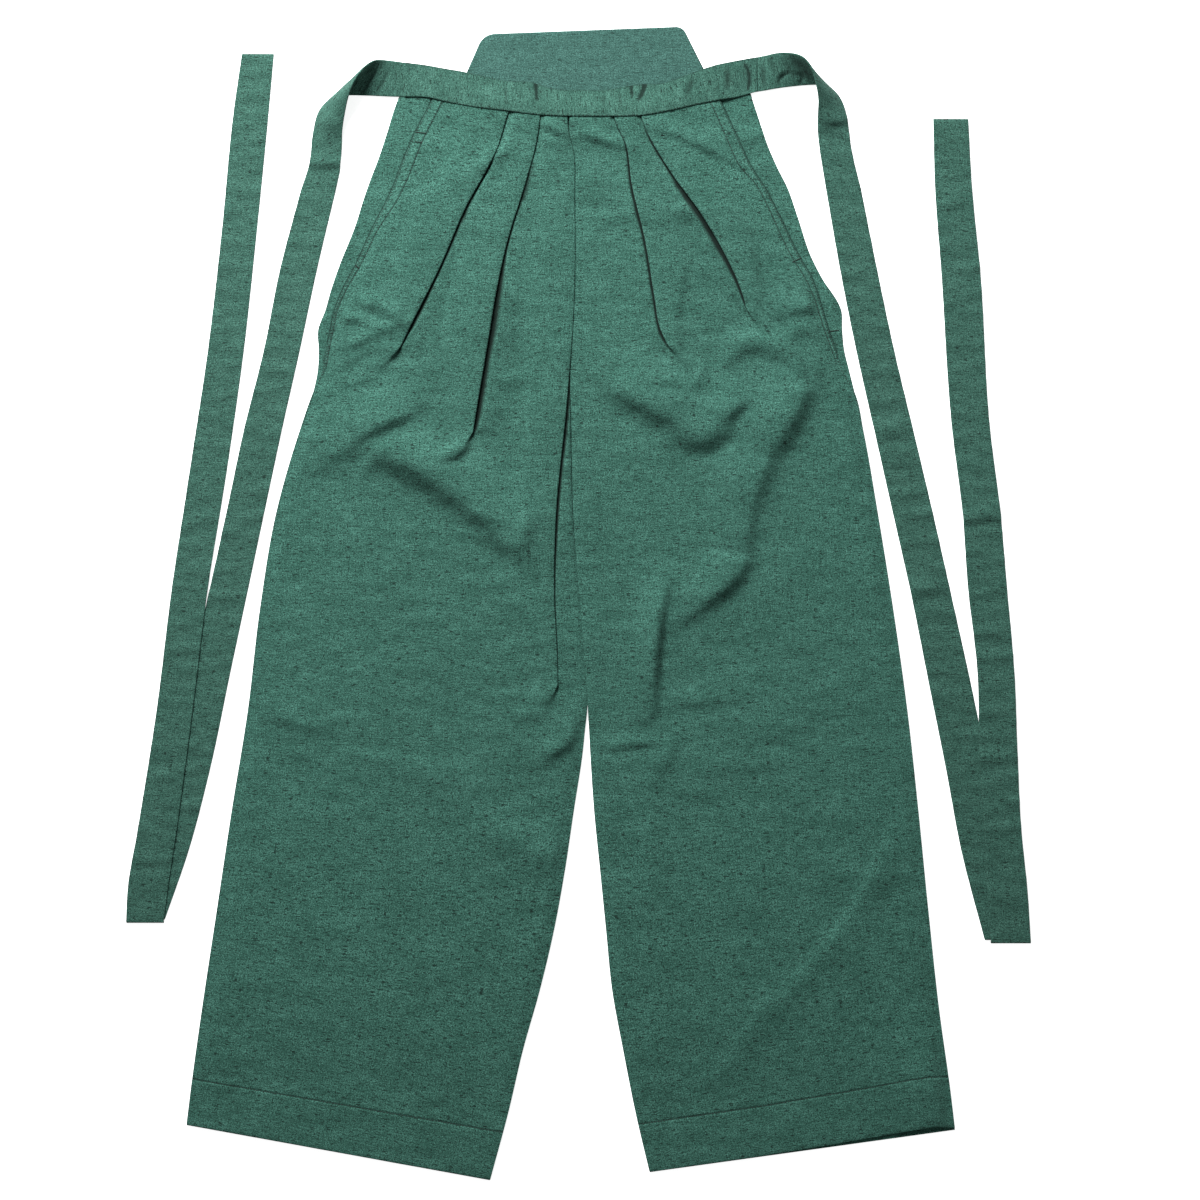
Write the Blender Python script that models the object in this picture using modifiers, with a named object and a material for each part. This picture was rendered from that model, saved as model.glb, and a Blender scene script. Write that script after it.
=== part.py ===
"""Hakama trousers, laid flat on their back with the front pleats up.

Two pleated front panels lie over two plain back panels. A stiff waist board stands at the
top of the back, the front waistband crosses over it, and the band runs on into two long
ties, each turned down at the hip and folded back up. Two shorter back ties lie inside.

Tables are in millimetres. "across" runs to +X from the middle, "down" runs to -Y from the
top of the waist board, and heights run to +Z from the surface the garment lies on.
"""

import math

import bmesh
import bpy
import numpy as np

MM = 0.001
GARMENT = "hakama_trousers"

# Driving sizes
GARMENT_LENGTH = 1014.6
CLOTH_WALL = 1.0
BACK_WALL = 1.2
TIE_WALL = 1.4
BACK_TIE_WALL = 1.2
BOARD_THICKNESS = 3.5
SEAM_GAP = 0.3
FRONT_SEAM_GAP = 0.6
HEM_START = 640.0
CROTCH_DOWN = 602.8

# Heights of the middle of a cloth layer above the surface
EDGE_HEIGHT = BACK_WALL + SEAM_GAP + CLOTH_WALL / 2
INSIDE_HEIGHT = 3.6
HEM_HEIGHT = 2.5
EDGE_ROLL = 14.0
TIE_HEIGHT = TIE_WALL / 2
UPPER_TIE_HEIGHT = TIE_HEIGHT + TIE_WALL + SEAM_GAP
BACK_TIE_HEIGHT = BACK_WALL + SEAM_GAP + BACK_TIE_WALL / 2

# A knife pleat: a bend of three steps, a run back, and a bend forward
BEND_STEPS = 3
PLEAT_PITCH = 1.6
PLEAT_CLEARANCE = 3.0

CLOTH_GREEN = (0.082, 0.215, 0.165)
BACK_GREEN = (0.078, 0.205, 0.162)
TIE_GREEN = (0.080, 0.210, 0.163)
BOARD_GREEN = (0.095, 0.235, 0.185)


def table(columns, rows):
    """A short table of sizes: one array for each named column."""
    return dict(zip(columns.split(), np.array(rows, float).T))


def read(sizes, column, at):
    """The column at a place along the table's first column, on a smooth curve through its rows."""
    keys = next(iter(sizes.values()))
    values = sizes[column]
    slopes = np.gradient(values, keys)
    row = np.clip(np.searchsorted(keys, at) - 1, 0, len(keys) - 2)
    span = keys[row + 1] - keys[row]
    t = np.clip((at - keys[row]) / span, 0, 1)
    start = (1 + 2 * t) * (1 - t) ** 2 * values[row] + t * (1 - t) ** 2 * span * slopes[row]
    end = t * t * (3 - 2 * t) * values[row + 1] - t * t * (1 - t) * span * slopes[row + 1]
    return start + end


def read_straight(sizes, column, at):
    """The column on straight lines between the table's rows."""
    return np.interp(at, next(iter(sizes.values())), sizes[column])


def smooth(t):
    """0 below 0, 1 above 1, and a soft step between."""
    t = np.clip(t, 0, 1)
    return t * t * (3 - 2 * t)


# Outlines. The front's side edge lies on the back panel down to the foot of the side slit.
SIDES_LEFT = table(
    "down back front",
    [
        (54, -154.5, -124),
        (66, -159.7, -129.5),
        (95, -169, -144.5),
        (116, -176, -153.5),
        (137, -184, -161.5),
        (153, -189.5, -168.5),
        (174, -196, -179.5),
        (210, -210.3, -196),
        (233, -218.2, -208),
        (250, -223, -214.5),
        (267, -229.2, -218),
        (284, -228.6, -221.5),
        (302, -229.4, -225),
        (322, -233.6, -233.6),
        (355, -245.1, -245.1),
        (425, -265.3, -265.3),
        (513, -280.3, -280.3),
        (601, -290.8, -290.8),
        (689, -304.9, -304.9),
        (777, -318.1, -318.1),
        (865, -331.3, -331.3),
        (935, -341.0, -341.0),
        (968, -345.0, -345.0),
    ],
)
SIDES_RIGHT = table(
    "down back front",
    [
        (54, 150, 119.5),
        (66, 153.6, 125),
        (78, 157.6, 130.6),
        (104, 166.3, 142.6),
        (123, 174.5, 151.5),
        (141, 183.6, 163.3),
        (166, 192.4, 176.4),
        (203, 205, 194.5),
        (221, 214.2, 205),
        (249, 231, 214.5),
        (267, 231.9, 220),
        (284, 233.6, 226),
        (302, 238, 232.5),
        (322, 243, 243),
        (355, 250.4, 250.4),
        (425, 262.7, 262.7),
        (513, 276.8, 276.8),
        (601, 289.1, 289.1),
        (689, 298.8, 298.8),
        (777, 307.6, 307.6),
        (865, 317.2, 317.2),
        (935, 326.9, 326.9),
        (972, 331.3, 331.3),
    ],
)
# How far the front hem stands back from the back one, where the hem gapes.
HEM_OPEN = {
    "left": table("across back", [(-350, 1.0), (-70, 1.0)]),
    "right": table(
        "across back",
        [(60, 1.0), (150, 1.0), (213, 2.2), (284, 4.7), (312, 6.2), (322, 4.2), (332, 1.6)],
    ),
}
# The centre seam down to the crotch, then the two inside leg seams.
SEAMS = table(
    "down left right",
    [
        (54, -8, -8),
        (240, -8, -8),
        (330, -7.4, -7.4),
        (386, -6.6, -6.6),
        (425, -5.4, -5.4),
        (476, -1.7, -1.7),
        (550, 4.6, 4.6),
        (598, 7.8, 8.1),
        (619, 5.7, 9.2),
        (636, 4, 10.1),
        (689, -4, 13.6),
        (742, -11.9, 18.9),
        (795, -21.6, 24.2),
        (847, -33.9, 29.5),
        (900, -48.8, 39.2),
        (953, -61.2, 49.7),
        (1015, -77.9, 64.3),
    ],
)

# The pleats: where each fold edge runs, and below its end the line its cloth follows.
PLEAT_EDGES = {
    "outer_left": table(
        "down across",
        [
            (66, -58),
            (77, -62),
            (108, -71.7),
            (161, -99.9),
            (212, -121.9),
            (265, -148.3),
            (289, -159.7),
            (420, -185),
            (640, -205),
            (1000, -262),
        ],
    ),
    "inner_left": table(
        "down across",
        [
            (66, -33),
            (80, -33.9),
            (99, -36.5),
            (139, -47.1),
            (187, -62),
            (240, -73.5),
            (267, -77.9),
            (363, -93.7),
            (420, -102),
            (640, -116),
            (1000, -190),
        ],
    ),
    "centre": table(
        "down across",
        [
            (66, -9.2),
            (91, -9.2),
            (108, -5),
            (152, -3.6),
            (240, -4),
            (328, -10.1),
            (434, -20.2),
            (504, -21.4),
            (552, -19),
            (577, -18.5),
            (640, -23),
            (700, -38),
            (1000, -118),
        ],
    ),
    "inner_right": table(
        "down across",
        [
            (66, 30),
            (82, 32.1),
            (104, 41.8),
            (139, 47.1),
            (187, 58.5),
            (240, 67.3),
            (265, 71.7),
            (284, 80),
            (420, 92),
            (640, 105),
            (1000, 140),
        ],
    ),
    "outer_right": table(
        "down across",
        [
            (66, 52),
            (84, 56.8),
            (130, 82.3),
            (164, 106.9),
            (196, 126.3),
            (240, 145.6),
            (252, 148.5),
            (420, 178),
            (640, 200),
            (1000, 238),
        ],
    ),
}
# Each pleat: the row where its fold opens out, its hidden depth at the waist and halfway down,
# and the width over which the cloth rises on to it.
PLEATS = {
    "outer_left": {"end": 288, "waist": 17, "middle": 24, "rise": 12},
    "inner_left": {"end": 363, "waist": 17, "middle": 28, "rise": 12},
    "centre": {"end": 577, "waist": 17, "middle": 22, "rise": 20},
    "inner_right": {"end": 284, "waist": 17, "middle": 22, "rise": 12},
    "outer_right": {"end": 252, "waist": 17, "middle": 22, "rise": 12},
}
FRONT_PLEATS = {
    "left": ("outer_left", "inner_left", "centre"),
    "right": ("outer_right", "inner_right"),
}
# How a pleat opens below its end: its turn as a share of a full fold, and its steps' lengths.
OPENING = table(
    "past_end turn step run",
    [
        (0, 1.0, 0.8, 2.0),
        (8, 0.5, 0.65, 0.8),
        (16, 0.26, 1.0, 1.2),
        (32, 0.1, 2.6, 2.6),
        (60, 0.0, 5.0, 5.0),
    ],
)

# The waistband's edges seen from above, and its middle height at each edge.
BAND = table(
    "across top bottom low_height up_height",
    [
        (-153.6, 31.3, 61.6, 2.3, 2.3),
        (-132.4, 34.3, 62.5, 3.7, 2.6),
        (-118, 37, 66, 5.4, 3.6),
        (-104.3, 39.6, 69, 6.2, 4.9),
        (-82, 44.4, 72.8, 8.4, 4.9),
        (-65, 48.0, 74.8, 8.4, 4.9),
        (-40, 49.8, 78.0, 8.4, 4.9),
        (-24, 54.9, 79.2, 8.4, 4.9),
        (1.3, 56.3, 79.7, 8.4, 4.9),
        (26, 56.0, 79.9, 8.4, 4.9),
        (45, 52.4, 79.6, 8.4, 4.9),
        (58, 51.2, 78.8, 8.4, 4.9),
        (75, 50.2, 75.8, 8.4, 4.9),
        (90, 45.0, 72.4, 7.4, 4.9),
        (106.9, 38.7, 68.4, 6.2, 4.9),
        (122, 33.8, 65.2, 5.4, 4.4),
        (137.7, 30.4, 62.5, 4.2, 2.8),
        (157.1, 26.8, 57.2, 2.3, 2.3),
    ],
)
BAND_FLAT_SHARE = 0.5

# Soft drape folds on the front: each crest line by its start, middle and end. The cloth falls
# away within "fall" on one side and within "rise" on the other. "side" is +1 where the fall is
# below a crest that runs to the right.
DRAPE = table(
    "start_across start_down mid_across mid_down end_across end_down side rise fall height",
    [
        (-229, 383, -201, 366, -169, 350, 1, 32, 13, 6.5),
        (-201, 364, -175, 350, -147, 336, 1, 24, 8, 8),
        (-174, 373, -135, 390, -97, 415, 1, 20, 14, 9.5),
        (-122, 397, -82, 423, -50, 454, 1, 22, 14, 7),
        (37, 317, 72, 338, 107, 356, 1, 26, 9, 8.5),
        (82, 346, 110, 358, 130, 344, 1, 24, 13, 9.5),
        (109, 356, 127, 340, 149, 321, 1, 15, 8, 8),
        (131, 290, 157, 278, 183, 295, 1, 10, 9, 5),
        (200, 316, 181, 347, 164, 381, -1, 20, 10, 9.5),
        (170, 370, 154, 399, 139, 427, -1, 18, 9, 6),
        (146, 463, 132, 487, 89, 519, -1, 17, 8, 7),
        (78, 489, 68, 539, 65, 596, -1, 14, 5, 6),
        (5, 592, -4, 616, -33, 646, -1, 18, 7, 5),
        (280, 721, 228, 798, 157, 865, -1, 6, 18, 3.2),
        (296, 900, 308, 940, 315, 980, -1, 24, 20, 5),
        (-95, 693, -51, 721, -12, 730, 1, 25, 20, 4),
    ],
)
CREST_STEPS = 16

# The turned corners of the front strip: the strip's two long edges, row by row.
# "rim" is the band's top edge, which stands up and comes over. "foot" stays on the surface.
TURN_COLUMNS = "rim_across rim_down rim_height foot_across foot_down foot_height"
TURN_LEFT = table(
    TURN_COLUMNS,
    [
        (-153.9, 31.4, 2.3, -153.9, 61.6, 2.3),
        (-161.5, 30.8, 4, -164.1, 61.6, 1.8),
        (-171.2, 30.4, 8, -181.7, 60.7, 1.2),
        (-178.2, 31.7, 13, -199.3, 60.3, 0.9),
        (-185.2, 37, 17.5, -213.4, 60.7, 0.8),
        (-191.4, 44.9, 20.5, -222.2, 66.9, 0.8),
        (-196.7, 54.6, 21, -228.4, 74.8, 0.8),
        (-201.1, 65.1, 17.5, -231.9, 85.4, 0.8),
        (-204.6, 78.3, 11.5, -234.5, 99.4, 0.8),
        (-207.2, 92.4, 6, -235.4, 110, 0.75),
        (-208.1, 108.2, 2.5, -236.7, 119.7, 0.7),
        (-209.9, 127.6, 0.7, -239.4, 129.4, 0.7),
    ],
)
TURN_RIGHT = table(
    TURN_COLUMNS,
    [
        (157.4, 26.8, 2.3, 157.4, 57.2, 2.3),
        (172.9, 24.6, 4.5, 175.6, 54.1, 1.6),
        (186.1, 25.5, 9.5, 193.2, 51.9, 1.1),
        (195.8, 29.5, 14.5, 205.5, 51, 0.8),
        (202, 37, 18.5, 216.9, 51.5, 0.8),
        (205.5, 45.8, 20.5, 225.7, 57.2, 0.8),
        (208.1, 55.4, 18.5, 231.9, 66, 0.8),
        (209.9, 66, 13, 235.8, 78.3, 0.8),
        (209.9, 78.3, 7, 238, 91.5, 0.75),
        (210.3, 93.3, 3, 239.8, 105.6, 0.7),
        (212.5, 111.8, 0.7, 242.4, 118.8, 0.7),
    ],
)
# The straight stretches of the ties, by their left and right edges.
DOWN_LEFT = table(
    "down left right",
    [
        (143.4, -244.2, -213.4),
        (213.8, -262.7, -230.1),
        (284.2, -276.8, -245.1),
        (354.6, -294.4, -260.9),
        (425, -309.3, -275.9),
        (495.4, -324.7, -290.8),
        (565.8, -340.6, -305.8),
        (653.8, -359.5, -324.3),
        (724.2, -375.8, -342.8),
        (787, -394.0, -364.5),
    ],
)
UP_LEFT = table(
    "down left right",
    [
        (23.8, -296.1, -268),
        (73, -303.2, -272.4),
        (178.6, -313.7, -282.9),
        (284.2, -326, -294.4),
        (389.8, -341.9, -309.3),
        (495.4, -357.7, -326),
        (601, -370.9, -339.2),
        (706.6, -387.6, -353.3),
        (759.4, -396.4, -361.2),
        (788, -397.8, -364.8),
    ],
)
DOWN_RIGHT = table(
    "down left right",
    [
        (143.4, 217.8, 248.6),
        (213.8, 230.1, 262.7),
        (284.2, 244.2, 277.6),
        (354.6, 260, 294.4),
        (425, 275.9, 311.1),
        (495.4, 291.7, 326.9),
        (583.4, 309.3, 346.3),
        (653.8, 323.4, 360.4),
        (724.2, 336.6, 374.4),
        (805, 357.7, 392.9),
    ],
)
UP_RIGHT = table(
    "down left right",
    [
        (81, 312, 342.8),
        (143.4, 313.7, 346.3),
        (213.8, 319, 353.3),
        (354.6, 328.7, 362.1),
        (425, 337.5, 370.9),
        (495.4, 342.8, 377.1),
        (565.8, 350.7, 383.2),
        (636.2, 352.4, 385.9),
        (706.6, 356.8, 389.4),
        (759.4, 359.6, 394.7),
        (806, 362.6, 397.8),
    ],
)
# The row where each upper stretch leaves the lower one and comes down to the surface.
UPPER_TIE_LANDS = {"left": (480, 420), "right": (600, 540)}
BACK_TIE_SPANS = {
    "left": table("down left right", [(58, -98, -69), (821, -190, -161)]),
    "right": table("down left right", [(58, 66, 95), (821, 152, 181)]),
}

BOARD_CORNERS = table(
    "across down radius",
    [(-104.3, 53.7, 0), (-8, 61, 0), (118.4, 53.7, 0), (91.5, 0, 10), (-83.6, 6.7, 17)],
)
BACK_TOP = table("across down", [(-160, 54), (-104.3, 54), (-8, 61.3), (118.4, 54), (160, 54)])
BOARD_ROUND_STEPS = 6

FRONT_ROWS = (72, 84, 98, 114, 132, 152, 176, 200, 222, 240, 252, 262, 274, 288, 300, 312, 324)
FRONT_ROWS += (338, 350, 360, 370, 380, 390, 401, 413, 427, 443, 461, 481, 504, 530, 560, 590)
FRONT_ROWS += (603, 614, 628, 650, 700, 780, 855, 900, 930)
BACK_ROWS = (54, 66, 97, 121, 170, 231, 250, 267, 284, 302, 330, 390, 470, 560, 603, 640, 720)
BACK_ROWS += (860, 930)
BACK_COLUMNS = 7
HEM_ROW = 930.0


class Garment:
    """The collection that every piece goes into."""

    def __init__(self, name):
        for old in list(bpy.data.objects):
            bpy.data.objects.remove(old)
        self.collection = bpy.data.collections.new(name)
        bpy.context.scene.collection.children.link(self.collection)

    def add(self, name, mesh, colour, roughness=0.9):
        """Adds a mesh as a named piece with its own cloth material."""
        piece = bpy.data.objects.new(name, mesh)
        self.collection.objects.link(piece)
        cloth = bpy.data.materials.new(name + "_cloth")
        cloth.use_nodes = True
        shader = cloth.node_tree.nodes["Principled BSDF"]
        shader.inputs["Base Color"].default_value = (*colour, 1.0)
        shader.inputs["Roughness"].default_value = roughness
        shader.inputs["Metallic"].default_value = 0.0
        mesh.materials.append(cloth)
        return piece


def place(across, down, height):
    """Table sizes as points in metres, with the origin under the middle of the garment."""
    return np.stack([across, GARMENT_LENGTH / 2 - down, height], axis=-1) * MM


def loft(name, points):
    """An open surface through a grid of points, one row of points for each section."""
    rows, columns = points.shape[:2]
    sheet = bmesh.new()
    grid = [[sheet.verts.new(p) for p in row] for row in points]
    for i in range(rows - 1):
        for j in range(columns - 1):
            corners = (grid[i][j], grid[i + 1][j], grid[i + 1][j + 1], grid[i][j + 1])
            sheet.faces.new(corners)
    bmesh.ops.recalc_face_normals(sheet, faces=sheet.faces)
    if sum(face.normal.z for face in sheet.faces) < 0:
        bmesh.ops.reverse_faces(sheet, faces=sheet.faces)
    mesh = bpy.data.meshes.new(name)
    sheet.to_mesh(mesh)
    sheet.free()
    return mesh


def thicken(piece, wall):
    """Gives an open sheet its wall, half to each side."""
    solid = piece.modifiers.new("wall", "SOLIDIFY")
    solid.thickness = wall * MM
    solid.offset = 0.0
    solid.use_even_offset = True
    solid.use_quality_normals = True


def band_low_edge(across):
    """How far down the waistband's lower edge hangs."""
    return read(BAND, "bottom", across)


def hem_shift(row, side, across):
    """How far a row turns to follow the sloping hem of its leg."""
    hem = smooth((row - HEM_START) / (HEM_ROW - HEM_START))
    if side == "left":
        return (60.4 + (across + 211) * 0.182) * hem
    return (59.0 + (196 - across) * 0.139) * hem


def front_down(row, side, across):
    """How far down a point of a front row lies: rows follow the waistband, then the hem."""
    waist = (band_low_edge(across) - 80) * (1 - smooth((row - 84) / 80))
    back = read_straight(HEM_OPEN[side], "back", across)
    return row + waist + hem_shift(row, side, across) - back * smooth((row - 880) / 50)


def back_down(row, side, across):
    """How far down a point of a back row lies: the first rows follow the waist board's foot."""
    top = (read_straight(BACK_TOP, "down", across) - 54) * (1 - smooth((row - 54) / 60))
    return row + top + hem_shift(row, side, across)


def meet(row, side, edge, row_down=front_down):
    """Where an edge, given as a function of down, crosses a row."""
    across = edge(row)
    for _ in range(4):
        across = edge(row_down(row, side, across))
    return across


def crest_line(fold):
    """Points along a fold's crest, on the curve through its start, middle and end."""
    start, mid, end = (np.array([fold[p + "_across"], fold[p + "_down"]]) for p in ("start", "mid", "end"))
    bend = 2 * mid - (start + end) / 2
    t = np.linspace(0, 1, CREST_STEPS + 1)[:, None]
    return (1 - t) ** 2 * start + 2 * t * (1 - t) * bend + t * t * end


def from_crest(spots, line):
    """Distance of each spot from a crest, which side it is on (-1 to 1), and its share along."""
    steps = np.diff(line, axis=0)
    away = spots[..., None, :] - line[:-1]
    t = np.clip((away * steps).sum(-1) / (steps**2).sum(-1), 0, 1)
    miss = away - t[..., None] * steps
    distance = np.hypot(miss[..., 0], miss[..., 1])
    nearest = distance.argmin(-1)
    pick = nearest[..., None]
    distance = np.take_along_axis(distance, pick, -1)[..., 0]
    along = (nearest + np.take_along_axis(t, pick, -1)[..., 0]) / CREST_STEPS
    miss = np.take_along_axis(miss, pick[..., None], -2)[..., 0, :]
    step = steps[nearest] / np.hypot(steps[:, 0], steps[:, 1])[nearest][..., None]
    side = (step[..., 0] * miss[..., 1] - step[..., 1] * miss[..., 0]) / (distance + 1)
    return distance, side, along


def drape(across, down):
    """Height of the soft drape folds at a point."""
    spots = np.stack([across, down], axis=-1)
    lift = np.zeros(spots.shape[:-1])
    for row in range(len(DRAPE["height"])):
        fold = {column: values[row] for column, values in DRAPE.items()}
        distance, side, along = from_crest(spots, crest_line(fold))
        width = fold["rise"] + (fold["fall"] - fold["rise"]) * smooth((1 + side * fold["side"]) / 2)
        crest = fold["height"] * np.sin(np.pi * (0.07 + 0.86 * along)) ** 0.7
        lift += (crest * np.exp(-((distance / width) ** 2))) ** 3
    return np.cbrt(lift)


def base_height(across, down, outer, inner, is_leg):
    """Height of the panel's lowest layer: puffed inside, down on the back panel at its seams."""
    inside = INSIDE_HEIGHT + (HEM_HEIGHT - INSIDE_HEIGHT) * smooth((down - 860) / 90)
    from_side = smooth(np.abs(across - outer) / EDGE_ROLL)
    from_leg_seam = smooth(np.abs(across - inner) / EDGE_ROLL)
    edge = from_side * (from_leg_seam * is_leg + 1 - is_leg)
    return EDGE_HEIGHT + (inside - EDGE_HEIGHT + drape(across, down)) * edge


def pleat_sizes(pleat, down):
    """Turn, step length and run of a pleat's fold at a row."""
    past = down - pleat["end"]
    if past > 0:
        return tuple(read_straight(OPENING, column, past) for column in ("turn", "step", "run"))
    depth = pleat["waist"] + (pleat["middle"] - pleat["waist"]) * smooth((down - 80) / 70)
    return 1.0, PLEAT_PITCH / 2, min(depth, 2.0 + 0.3 * -past)


def fold_chain(turn, step, run):
    """A pleat's cross-section from its top layer: round the fold edge, back, and forward again."""
    bend = [math.pi * turn * (i + 0.5) / BEND_STEPS for i in range(BEND_STEPS)]
    headings = bend + [math.pi * turn] + bend[::-1]
    lengths = [step] * BEND_STEPS + [run] + [step] * BEND_STEPS
    moves = [(length * math.cos(a), -length * math.sin(a)) for length, a in zip(lengths, headings)]
    chain = np.vstack([(0.0, 0.0), np.cumsum(moves, axis=0)])
    chain[:, 0] -= chain[:, 0].max()
    return chain


def approach(last, start, clear_of, hidden_edge, turn, rise):
    """Six points from the last layer to the next pleat's top layer, and their share of its rise."""
    rise_end = min(start - 2.0, hidden_edge - PLEAT_CLEARANCE)
    rise_start = max(rise_end - rise, clear_of)
    rising = np.linspace(rise_start, rise_end, 4)
    ends = [(last + rise_start) / 2, *rising, (rise_end + start) / 2]
    even = np.linspace(last, start, 8)[1:-1]
    across = even + (np.array(ends) - even) * smooth(turn * 1.5)
    return across, smooth((across - rise_start) / (rise_end - rise_start))


def front_section(row, side):
    """One section of a front panel, from its side edge to its centre: across, down and height."""
    flip = 1 if side == "left" else -1
    sides = SIDES_LEFT if side == "left" else SIDES_RIGHT
    outer = flip * meet(row, side, lambda d: read(sides, "front", d))
    seam = flip * meet(row, side, lambda d: read(SEAMS, side, d)) - FRONT_SEAM_GAP / 2
    across = [outer, outer + 3, outer + 8, outer + EDGE_ROLL]
    lift = [0.0] * 4
    clear_of = outer + EDGE_ROLL + 1
    for name in FRONT_PLEATS[side]:
        edges = PLEAT_EDGES[name]
        edge = flip * meet(row, side, lambda d: read(edges, "across", d))
        turn, step, run = pleat_sizes(PLEATS[name], row)
        run = min(run, edge - clear_of - PLEAT_CLEARANCE - 6.0)
        chain = fold_chain(turn, step, run)
        start = edge + chain[0, 0]
        hidden_edge = edge + chain[:, 0].min()
        points, shares = approach(
            across[-1], start, clear_of, hidden_edge, turn, PLEATS[name]["rise"]
        )
        across += [*points, *(edge + chain[:, 0])]
        lift += [*(-chain[-1, 1] * shares), *(chain[:, 1] - chain[-1, 1])]
        clear_of = edge + 1.5
    shares = np.array([0.2, 0.4, 0.6, 0.8, 0.93, 1.0] if side == "right" else [0.35, 0.7, 1.0])
    across += [*(across[-1] + (seam - across[-1]) * shares)]
    lift += [0.0] * len(shares)
    across = np.array(across)
    down = front_down(row, side, flip * across)
    is_leg = smooth((row - CROTCH_DOWN + 20) / 40)
    height = base_height(flip * across, down, flip * outer, flip * seam, is_leg) + np.array(lift)
    return np.stack([flip * across, down, height], axis=-1)


def build_front(garment, side):
    """A front panel with its knife pleats, from the waist to the hem."""
    points = np.array([front_section(row, side) for row in FRONT_ROWS])
    name = "front_panel_" + side
    mesh = loft(name, place(points[..., 0], points[..., 1], points[..., 2]))
    thicken(garment.add(name, mesh, CLOTH_GREEN), CLOTH_WALL)


def build_back(garment, side):
    """A plain back panel that lies flat on the surface."""
    sides = SIDES_LEFT if side == "left" else SIDES_RIGHT
    gap = -SEAM_GAP / 2 if side == "left" else SEAM_GAP / 2
    rows = []
    for row in BACK_ROWS:
        outer = meet(row, side, lambda d: read(sides, "back", d), back_down)
        inner = meet(row, side, lambda d: read(SEAMS, side, d), back_down) + gap
        across = np.linspace(outer, inner, BACK_COLUMNS)
        down = back_down(row, side, across)
        rows.append(np.stack([across, down, np.full(BACK_COLUMNS, BACK_WALL / 2)], axis=-1))
    points = np.array(rows)
    name = "back_panel_" + side
    mesh = loft(name, place(points[..., 0], points[..., 1], points[..., 2]))
    thicken(garment.add(name, mesh, BACK_GREEN), BACK_WALL)


def build_waistband(garment):
    """The front band: flat over the pleats, and sloping to the waist board at its top edge."""
    across = np.linspace(BAND["across"][0], BAND["across"][-1], 30)
    shares = np.linspace(0, 1, 6)
    top, bottom = read(BAND, "top", across), read(BAND, "bottom", across)
    low, high = read_straight(BAND, "low_height", across), read_straight(BAND, "up_height", across)
    slope = smooth((shares - BAND_FLAT_SHARE) / (1 - BAND_FLAT_SHARE))
    down = bottom[:, None] + (top - bottom)[:, None] * shares
    height = low[:, None] + (high - low)[:, None] * slope
    mesh = loft("front_waistband", place(np.repeat(across[:, None], 6, axis=1), down, height))
    thicken(garment.add("front_waistband", mesh, TIE_GREEN), TIE_WALL)


def tie_rows(spans, start, end, height, step=40.0):
    """Straight stretch of a tie: its left edge, middle and right edge at even rows."""
    count = max(2, round(abs(end - start) / step) + 1)
    down = np.linspace(start, end, count)
    left, right = read(spans, "left", down), read(spans, "right", down)
    across = np.stack([left, (left + right) / 2, right], axis=-1)
    heights = np.broadcast_to(height(down) if callable(height) else height, down.shape)
    return np.stack([across, np.repeat(down[:, None], 3, 1), np.repeat(heights[:, None], 3, 1)], axis=-1)


def build_tie_down(garment, side):
    """A front tie from the band's end: its soft turn at the hip, then straight down."""
    turn, spans = (TURN_LEFT, DOWN_LEFT) if side == "left" else (TURN_RIGHT, DOWN_RIGHT)
    rim = np.stack([turn["rim_across"], turn["rim_down"], turn["rim_height"]], axis=-1)
    foot = np.stack([turn["foot_across"], turn["foot_down"], turn["foot_height"]], axis=-1)
    corner = np.stack([foot, (rim + foot) / 2, rim], axis=1)
    end = spans["down"][-1] - TIE_WALL - SEAM_GAP
    straight = tie_rows(spans, spans["down"][0], end, TIE_HEIGHT)
    if side == "right":
        corner = corner[:, ::-1]
    points = np.concatenate([corner, straight])
    name = f"front_tie_{side}_down"
    mesh = loft(name, place(points[..., 0], points[..., 1], points[..., 2]))
    thicken(garment.add(name, mesh, TIE_GREEN), TIE_WALL)


def build_tie_up(garment, side):
    """A front tie's outer stretch: round the lower fold and back up to the squared free end."""
    spans = UP_LEFT if side == "left" else UP_RIGHT
    low_row, high_row = UPPER_TIE_LANDS[side]

    def height(down):
        lifted = smooth((down - high_row) / (low_row - high_row))
        return TIE_HEIGHT + (UPPER_TIE_HEIGHT - TIE_HEIGHT) * lifted

    start, end = spans["down"][0], spans["down"][-1] - TIE_WALL
    straight = tie_rows(spans, start, end, height)
    radius = (UPPER_TIE_HEIGHT - TIE_HEIGHT) / 2
    bend = []
    for angle in np.radians((36, 72, 108, 144)):
        ring = straight[-1].copy()
        ring[:, 1] += radius * math.sin(angle)
        ring[:, 2] -= radius * (1 - math.cos(angle))
        bend.append(ring)
    points = np.concatenate([straight, np.array(bend)])
    name = f"front_tie_{side}_up"
    mesh = loft(name, place(points[..., 0], points[..., 1], points[..., 2]))
    thicken(garment.add(name, mesh, TIE_GREEN), TIE_WALL)


def build_back_tie(garment, side):
    """A back tie, laid down the inside of the leg from the waist board's lower corner."""
    spans = BACK_TIE_SPANS[side]
    points = tie_rows(spans, spans["down"][0], spans["down"][-1], BACK_TIE_HEIGHT, step=200.0)
    name = "back_tie_" + side
    mesh = loft(name, place(points[..., 0], points[..., 1], points[..., 2]))
    thicken(garment.add(name, mesh, TIE_GREEN), BACK_TIE_WALL)


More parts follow.
